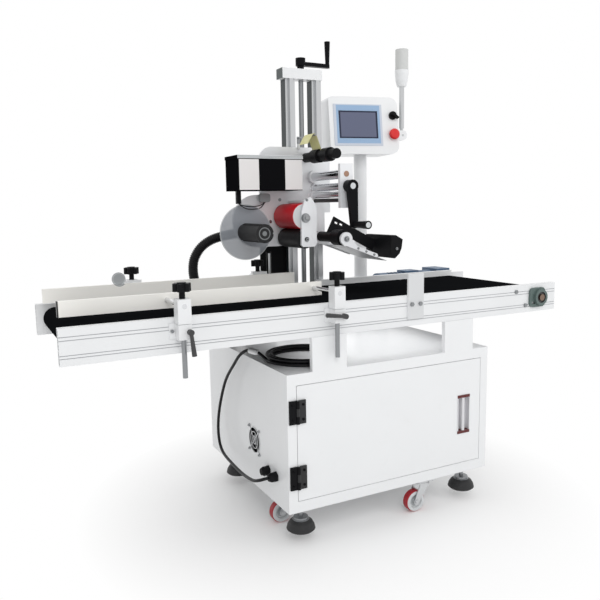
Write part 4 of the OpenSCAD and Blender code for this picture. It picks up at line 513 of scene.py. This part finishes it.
# two unit vectors square to each tangent of a path, carried along without twist
def pathFrames(path):
    tangent = np.gradient(path, axis=0)
    tangent /= np.linalg.norm(tangent, axis=1, keepdims=True)
    side = np.zeros_like(path)
    first = np.array([0, 0, 1.0]) if abs(tangent[0, 2]) < 0.9 else np.array([0, 1.0, 0])
    for i, t in enumerate(tangent):
        v = first - np.dot(first, t) * t
        side[i] = first = v / np.linalg.norm(v)
    return side, np.cross(tangent, side)


# tube: at each point of the path a circle of that point's radius, square to the path
def tubeGrid(path, radii, sides):
    side, up = pathFrames(path)
    turn = np.linspace(0, 2 * np.pi, sides, endpoint=False)
    circle = side[:, None] * np.cos(turn)[None, :, None] \
        + up[:, None] * np.sin(turn)[None, :, None]
    return path[:, None] + circle * np.broadcast_to(radii, len(path)).reshape(-1, 1, 1)


# smooth curve through points: cubic pieces that share their slopes
def smooth(points, steps):
    p = np.asarray(points, float)
    q = np.vstack([p[:1], p, p[-1:]])
    t = np.linspace(0, 1, steps, endpoint=False)[None, :, None]
    a, b, c, d = (q[k:len(q) - 3 + k, None] for k in range(4))
    run = b + 0.5 * t * (c - a) + t**2 * (a - 2.5 * b + 2 * c - 0.5 * d) \
        + t**3 * (-0.5 * a + 1.5 * b - 1.5 * c + 0.5 * d)
    return np.vstack([run.reshape(-1, 3), p[-1:]])


# length of a path: the distances between its points, added up
def pathLength(path):
    return np.linalg.norm(np.diff(path, axis=0), axis=1).sum()


# points of a path at even distances, and its length
def evenly(path, count):
    run = np.concatenate([[0], np.cumsum(np.linalg.norm(np.diff(path, axis=0), axis=1))])
    where = np.linspace(0, run[-1], count)
    return np.stack([np.interp(where, run, path[:, k]) for k in range(3)], 1), run[-1]


# profile of (radius, height) pairs turned round an axis through a point
def turned(profile, point, axis, sides):
    profile = np.asarray(profile, float)
    axis = np.asarray(axis, float) / np.linalg.norm(axis)
    first = np.array([0, 0, 1.0]) if abs(axis[2]) < 0.9 else np.array([1.0, 0, 0])
    u = np.cross(first, axis)
    u /= np.linalg.norm(u)
    v = np.cross(axis, u)
    turn = np.linspace(0, 2 * np.pi, sides, endpoint=False)
    circle = u[None] * np.cos(turn)[:, None] + v[None] * np.sin(turn)[:, None]
    return np.asarray(point) + profile[:, None, :1] * circle[None] \
        + profile[:, None, 1:] * axis[None, None]


# one piece of several turned shapes: rows of profile in millimetres, place and axis
def lathes(name, body, finish, shapes, sides=24):
    points, faces = [], []
    for profile, place, axis in shapes:
        faces += tubeFaces(len(profile), sides, len(points))
        points.extend(turned(np.array(profile, float) * mm, place, axis, sides).reshape(-1, 3))
    return meshPiece(name, points, faces, finish, body, rounded=False)


# socket screw of radius r on a washer, sunk a little into the face it stands on
def screw(r):
    return [[r * 1.5, -0.4], [r * 1.5, r * 0.3], [r, r * 0.3], [r, r * 1.1], [r * 0.9, r * 1.25],
            [r * 0.5, r * 1.25], [r * 0.5, r * 0.7]]


toFront, toLeft = (0, -1, 0), (-1, 0, 0)
hinges = {"screw": 2.6, "y": -8, "heights": (198, 377), "apart": 20,
          "leaves": {"machine": -191, "door": -160}}
for body, x in hinges["leaves"].items():
    lathes(body + "HingeScrews", body, blackMetal,
           [(screw(hinges["screw"]), at(x, hinges["y"], z + step), toFront)
            for z in hinges["heights"] for step in (-hinges["apart"], hinges["apart"])])

# screws in millimetres: radius and place, and for nuts a profile and place
headScrews = {"screws": ((5, (-4, 253, 809)), (3.5, (-20, 400, 928)), (3.5, (-54, 400, 861)),
                         (3, (-2, 253, 925))),
              "nut": [[14, -0.4], [14, 2.5], [11.5, 2.5], [11.5, 9], [7, 9.5], [7, 14], [5, 15]],
              "nutPlace": (-7.4, 253, 872.4)}
peelScrews = {"pivot": (94, 187, 809), "pivotScrew": 6, "tilt": 0.354, "below": 13.5,
              "runs": (48, 78, 108), "screw": 2.6, "motor": (280, 196, 772), "motorScrew": 3}
liftNut = {"profile": [[8.5, -0.4], [8.5, 1.2], [6.5, 1.6], [6.5, 0.8], [3, 0.8]],
           "place": (99.4, 195, 998.7)}
fanScrews = {"screw": 3, "centre": (-206, 218, 238), "apart": 35}


# place on the tilted peel plate, a run down it from the pivot
def onPeelPlate(run):
    x, y, z = peelScrews["pivot"]
    along, across = math.cos(peelScrews["tilt"]), math.sin(peelScrews["tilt"])
    return (x + run * along - peelScrews["below"] * across, y,
            z - run * across - peelScrews["below"] * along)


# screws of one body as one piece: rows of profile and place
def fasten(body, finish, rows, axis=toFront):
    lathes(body + "Screws", body, finish,
           [(profile, at(*place), axis) for profile, place in rows])


fasten("head", boltSteel, [(screw(r), place) for r, place in headScrews["screws"]] + [
    (headScrews["nut"], headScrews["nutPlace"])])
fasten("peel_arm", boltSteel, [(screw(peelScrews["pivotScrew"]), peelScrews["pivot"])] + [
    (screw(peelScrews["screw"]), onPeelPlate(run)) for run in peelScrews["runs"]] + [
    (screw(peelScrews["motorScrew"]), peelScrews["motor"])])
fasten("lift", copper, [(liftNut["profile"], liftNut["place"])])
x, y, z = fanScrews["centre"]
fasten("machine", boltSteel, [
    (screw(fanScrews["screw"]), (x, y + a, z + b))
    for a in (-fanScrews["apart"], fanScrews["apart"])
    for b in (-fanScrews["apart"], fanScrews["apart"])], toLeft)

cable = {"radius": 4.5, "sides": 16, "steps": 8, "route": [
    [-228, 74, 179], [-240, 74, 179], [-251, 84, 174], [-255, 120, 162], [-251, 200, 150],
    [-246, 300, 147], [-241, 385, 152], [-237, 428, 178], [-234, 440, 230], [-232, 420, 300],
    [-230, 370, 385], [-228, 300, 450], [-224, 262, 484], [-212, 238, 500], [-199, 214, 503],
    [-190, 192, 495], [-185, 174, 487], [-184, 162, 483], [-184, 152, 483]]}
coil = {"x": -72, "y": 152, "z": 483, "r": 112, "turns": 2, "pitch": 10.5, "rise": 10,
        "steps": 48, "tailSteps": 6, "tail": [
            [38, 186, 495], [39, 214, 503], [45, 242, 518], [53, 266, 533], [58, 284, 539],
            [60, 296, 531], [60, 300, 515], [60, 300, 502]]}


# spiral of two layers: inwards below, then outwards one diameter higher
def coilPath():
    steps, pitch = coil["steps"], coil["pitch"]
    low = np.arange(coil["turns"] * steps + 1) / steps
    high = np.arange(1, coil["turns"] * steps + steps // 2 + 1) / steps
    r = np.concatenate([coil["r"] - low * pitch, coil["r"] - coil["turns"] * pitch
                        + np.maximum(high - 0.5, 0) * pitch])
    z = np.concatenate([low * 0, np.minimum(2 * high, 1) * coil["rise"]]) + coil["z"]
    a = 2 * np.pi * np.concatenate([low, high])
    loops = np.stack([coil["x"] - r * np.cos(a), coil["y"] - r * np.sin(a), z], 1)
    return np.vstack([loops, smooth(np.vstack([loops[-1:], coil["tail"]]),
                                    coil["tailSteps"])[1:]])


# 9 mm cable along a route in millimetres, in place of its CAD node
def cablePiece(name, route, node):
    path = np.array([at(*p) for p in route])
    length, r = pathLength(path), cable["radius"] * mm
    piece = gridPiece(name, tubeGrid(path, r, cable["sides"]), hoseBlack, "machine")
    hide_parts(node)
    print(name, round(length, 3), "m")


cablePiece("sideCable", smooth(cable["route"], cable["steps"]), "side_cable")
cablePiece("cableCoil", coilPath(), "cable_coil")

hose = {"radius": 15, "ribs": 96, "deep": 2.2, "flat": 1.7, "ribSteps": 8, "sides": 32,
        "steps": 24, "start": (-110, 448, 831), "end": (-200, 497, 555), "route": [
            [-70.6, 448, 832], [-86, 448, 832], [-130, 448, 829], [-187, 448, 821],
            [-229, 452, 810], [-262, 458, 788], [-282, 465, 756], [-287, 470, 722],
            [-280, 477, 682], [-258, 485, 635], [-225, 493, 590], [-188, 499, 550],
            [-165, 500, 522], [-160, 500, 510], [-160, 500, 502]]}


# ribbed hose: its radius rises and falls once for each rib along an evenly stepped path
def headHose():
    path, length = evenly(smooth([at(*p) for p in hose["route"]], hose["steps"]),
                          hose["ribs"] * hose["ribSteps"] + 1)
    wave = 0.5 - 0.5 * np.cos(np.arange(len(path)) * 2 * np.pi / hose["ribSteps"])
    wave = np.clip(wave * hose["flat"], 0, 1)
    radii = (hose["radius"] - hose["deep"] * (1 - wave)) * mm
    piece = gridPiece("headConduit", tubeGrid(path, radii, hose["sides"]), hoseBlack, None)
    tuple(at(*hose["start"]))
    tuple(at(*hose["end"]))
    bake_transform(piece)
    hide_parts("head_conduit")
    print("headConduit", round(length, 3), "m")


headHose()

# leads: x, y, z, share of the lead's drop, and how far x moves from one lead to the next
leads = {"radius": 1.5, "sides": 10, "steps": 6, "drops": (8, 16), "route": [
    (-176.5, 356, 922, 0, 0), (-176.5, 352, 917, 0, 0), (-168, 350, 917, 0.5, 0),
    (-148, 352, 917, 1, 0), (-120, 362, 917, 1, 0), (-98, 374, 920, 1, 0),
    (-86, 382, 917, 0, 4), (-82, 387, 922, 0, 6), (-82, 390, 924, 0, 6)]}


# two thin leads from the hanger under the drive box to the sensor
def sensorLeads():
    for i, drop in enumerate(leads["drops"]):
        path = smooth([at(x + apart * i, y, z - share * drop)
                       for x, y, z, share, apart in leads["route"]], leads["steps"])
        length, r = pathLength(path), leads["radius"] * mm
        piece = gridPiece("sensorLead%d" % (i + 1), tubeGrid(path, r, leads["sides"]),
                          hoseBlack, "head")
        print("sensorLead", round(length, 3), "m")


sensorLeads()

# white sleeve where the side cable comes over the cabinet's edge
sleeve = {"start": (-208, 230, 501.5), "end": (-193, 199, 498.5),
          "fromStart": [[5, 0], [8, 1], [8.5, 4]],
          "fromEnd": [[8.5, -8], [7, -5], [7, -1], [5, 0]]}
sleeveRun = np.subtract(sleeve["end"], sleeve["start"])
sleeveLong = float(np.linalg.norm(sleeveRun))
lathes("cableSleeve", "machine", lampWhite, [
    (sleeve["fromStart"] + [[r, sleeveLong + step] for r, step in sleeve["fromEnd"]],
     at(*sleeve["start"]), sleeveRun)])

web = {"y": (296, 352), "thick": 0.6, "steps": 8, "clear": 0.72, "cloudy": 0.1, "grain": 30.0,
       "path": [[28, 1092], [36, 1106], [44, 1118], [50, 1122], [57, 1116], [64, 1100],
                [70, 1084], [74, 1073.4]]}


# label backing that runs over the web bar and down to the collar shaft
def labelFilm():
    run = smooth([at(x, web["y"][0], z) for x, z in web["path"]], web["steps"])
    width = (web["y"][1] - web["y"][0]) * mm
    film = surface("labelFilm", rgb(0.80, 0.77, 0.36), 0.3, drift=0.06, grain=300, shine=0.4)
    film.set(Alpha=film.noise(web["grain"], 2) * web["cloudy"] + web["clear"])
    lift, back = np.array([0, 0, web["thick"] * mm]), np.array([0, width, 0])
    grid = np.stack([run + lift, run + back + lift, run + back, run], 1)
    piece = gridPiece("labelFilm", grid, film, "head", rounded=False)


labelFilm()

# camera fitted to the photograph: place in millimetres, and three unit directions
view = {"place": (-930.5, -1502.2, 908.9), "right": (0.88855, -0.45845, -0.01745),
        "up": (0.07958, 0.11654, 0.98999), "ahead": (0.45183, 0.88105, -0.14004),
        "lens": 40.04, "sensor": 36, "clip": (0.05, 60)}


def camera():
    data = bpy.data.cameras.new("photoCamera")
    data.lens, data.sensor_width = view["lens"], view["sensor"]
    data.clip_start, data.clip_end = view["clip"]
    cam = bpy.data.objects.new("photoCamera", data)
    bpy.context.collection.objects.link(cam)
    turn = Matrix((view["right"], view["up"], [-a for a in view["ahead"]])).transposed()
    cam.matrix_world = Matrix.Translation(at(*view["place"])) @ turn.to_4x4()
    bpy.context.scene.camera = cam


# lamps: place and aim in metres, size of the panel, watts
lamps = {"keyLamp": ((-1.0, -3.3, 2.9), (0, 0, 0.7), (2.2, 2.2), 52),
         "fillLamp": ((2.6, -2.4, 2.2), (0, 0, 0.7), (2.0, 2.0), 20),
         "topLamp": ((0.2, 0.4, 3.6), (0, 0, 0.7), (2.4, 2.4), 24),
         "underLamp": ((0.18, -0.037, 0.56), (0.18, -0.037, 0.4), (0.46, 0.38), 0.8)}


# soft rectangular lamp that no camera or reflection sees
def lamp(name, place, aim, size, power):
    data = bpy.data.lights.new(name, "AREA")
    data.shape, data.size, data.size_y = "RECTANGLE", size[0], size[1]
    data.energy = power
    obj = bpy.data.objects.new(name, data)
    bpy.context.collection.objects.link(obj)
    obj.visible_camera = obj.visible_glossy = False
    z = np.subtract(place, aim) / np.linalg.norm(np.subtract(place, aim))
    x = np.cross((0, 1.0, 0) if abs(z[2]) > 0.99 else (0, 0, 1.0), z)
    x /= np.linalg.norm(x)
    obj.matrix_world = Matrix.Translation(place) \
        @ Matrix((x, np.cross(z, x), z)).transposed().to_4x4()


# pale floor whose shading gives way to plain white between two distances from its middle
floorLook = {"half": 14.0, "shine": 0.1, "rough": 0.85, "middle": (0.1, 0, 0), "near": 0.25,
             "over": 0.55, "least": 0.06}
floorPale, white = rgb(0.93, 0.93, 0.93), rgb(1, 1, 1)
ambient = 0.55  # the world's strength for light; what sees it directly sees 1


def studioFloor():
    floor = Finish("floorPale")
    floor.set(Base_Color=floorPale, Roughness=floorLook["rough"],
              Specular_IOR_Level=floorLook["shine"])
    glow = floor.node("ShaderNodeEmission", {}, white, 1.0)
    far = floor.radius(floorLook["middle"], 2)
    fade = ((far - floorLook["near"]) * (1 / floorLook["over"])).clamp() \
        * (1 - floorLook["least"]) + floorLook["least"]
    blend = floor.node("ShaderNodeMixShader", {}, fade, Sig(floor, floor.shader.outputs[0]),
                       glow)
    floor.plug(floor.tree.nodes["Material Output"].inputs["Surface"], blend)
    half = floorLook["half"]
    mesh = bpy.data.meshes.new("floor")
    mesh.from_pydata([(-half, -half, 0), (half, -half, 0), (half, half, 0), (-half, half, 0)],
                     [], [[0, 1, 2, 3]])
    mesh.materials.append(floor.mat)
    obj = bpy.data.objects.new("floor", mesh)
    bpy.context.collection.objects.link(obj)


# world that lights weakly but looks white to the camera, to gloss and through glass
def studioWorld():
    world = bpy.data.worlds.new("studio")
    bpy.context.scene.world = world
    world.use_nodes = True
    nodes = Nodes(world.node_tree)
    rays = nodes.node("ShaderNodeLightPath", {}).out.node.outputs
    direct, through, glossy = [Sig(nodes, rays["Is %s Ray" % kind])
                               for kind in ("Camera", "Transmission", "Glossy")]
    seen = direct.math("MAXIMUM", through).math("MAXIMUM", glossy)
    back = nodes.tree.nodes["Background"].inputs
    nodes.plug(back["Color"], white)
    nodes.plug(back["Strength"], nodes.node("ShaderNodeMix", {"data_type": "FLOAT"}, seen,
                                            None, ambient, 1.0))


camera()
studioFloor()
studioWorld()
for name, settings in lamps.items():
    lamp(name, *settings)
bpy.context.scene.view_settings.view_transform = "Standard"
print("stage done")
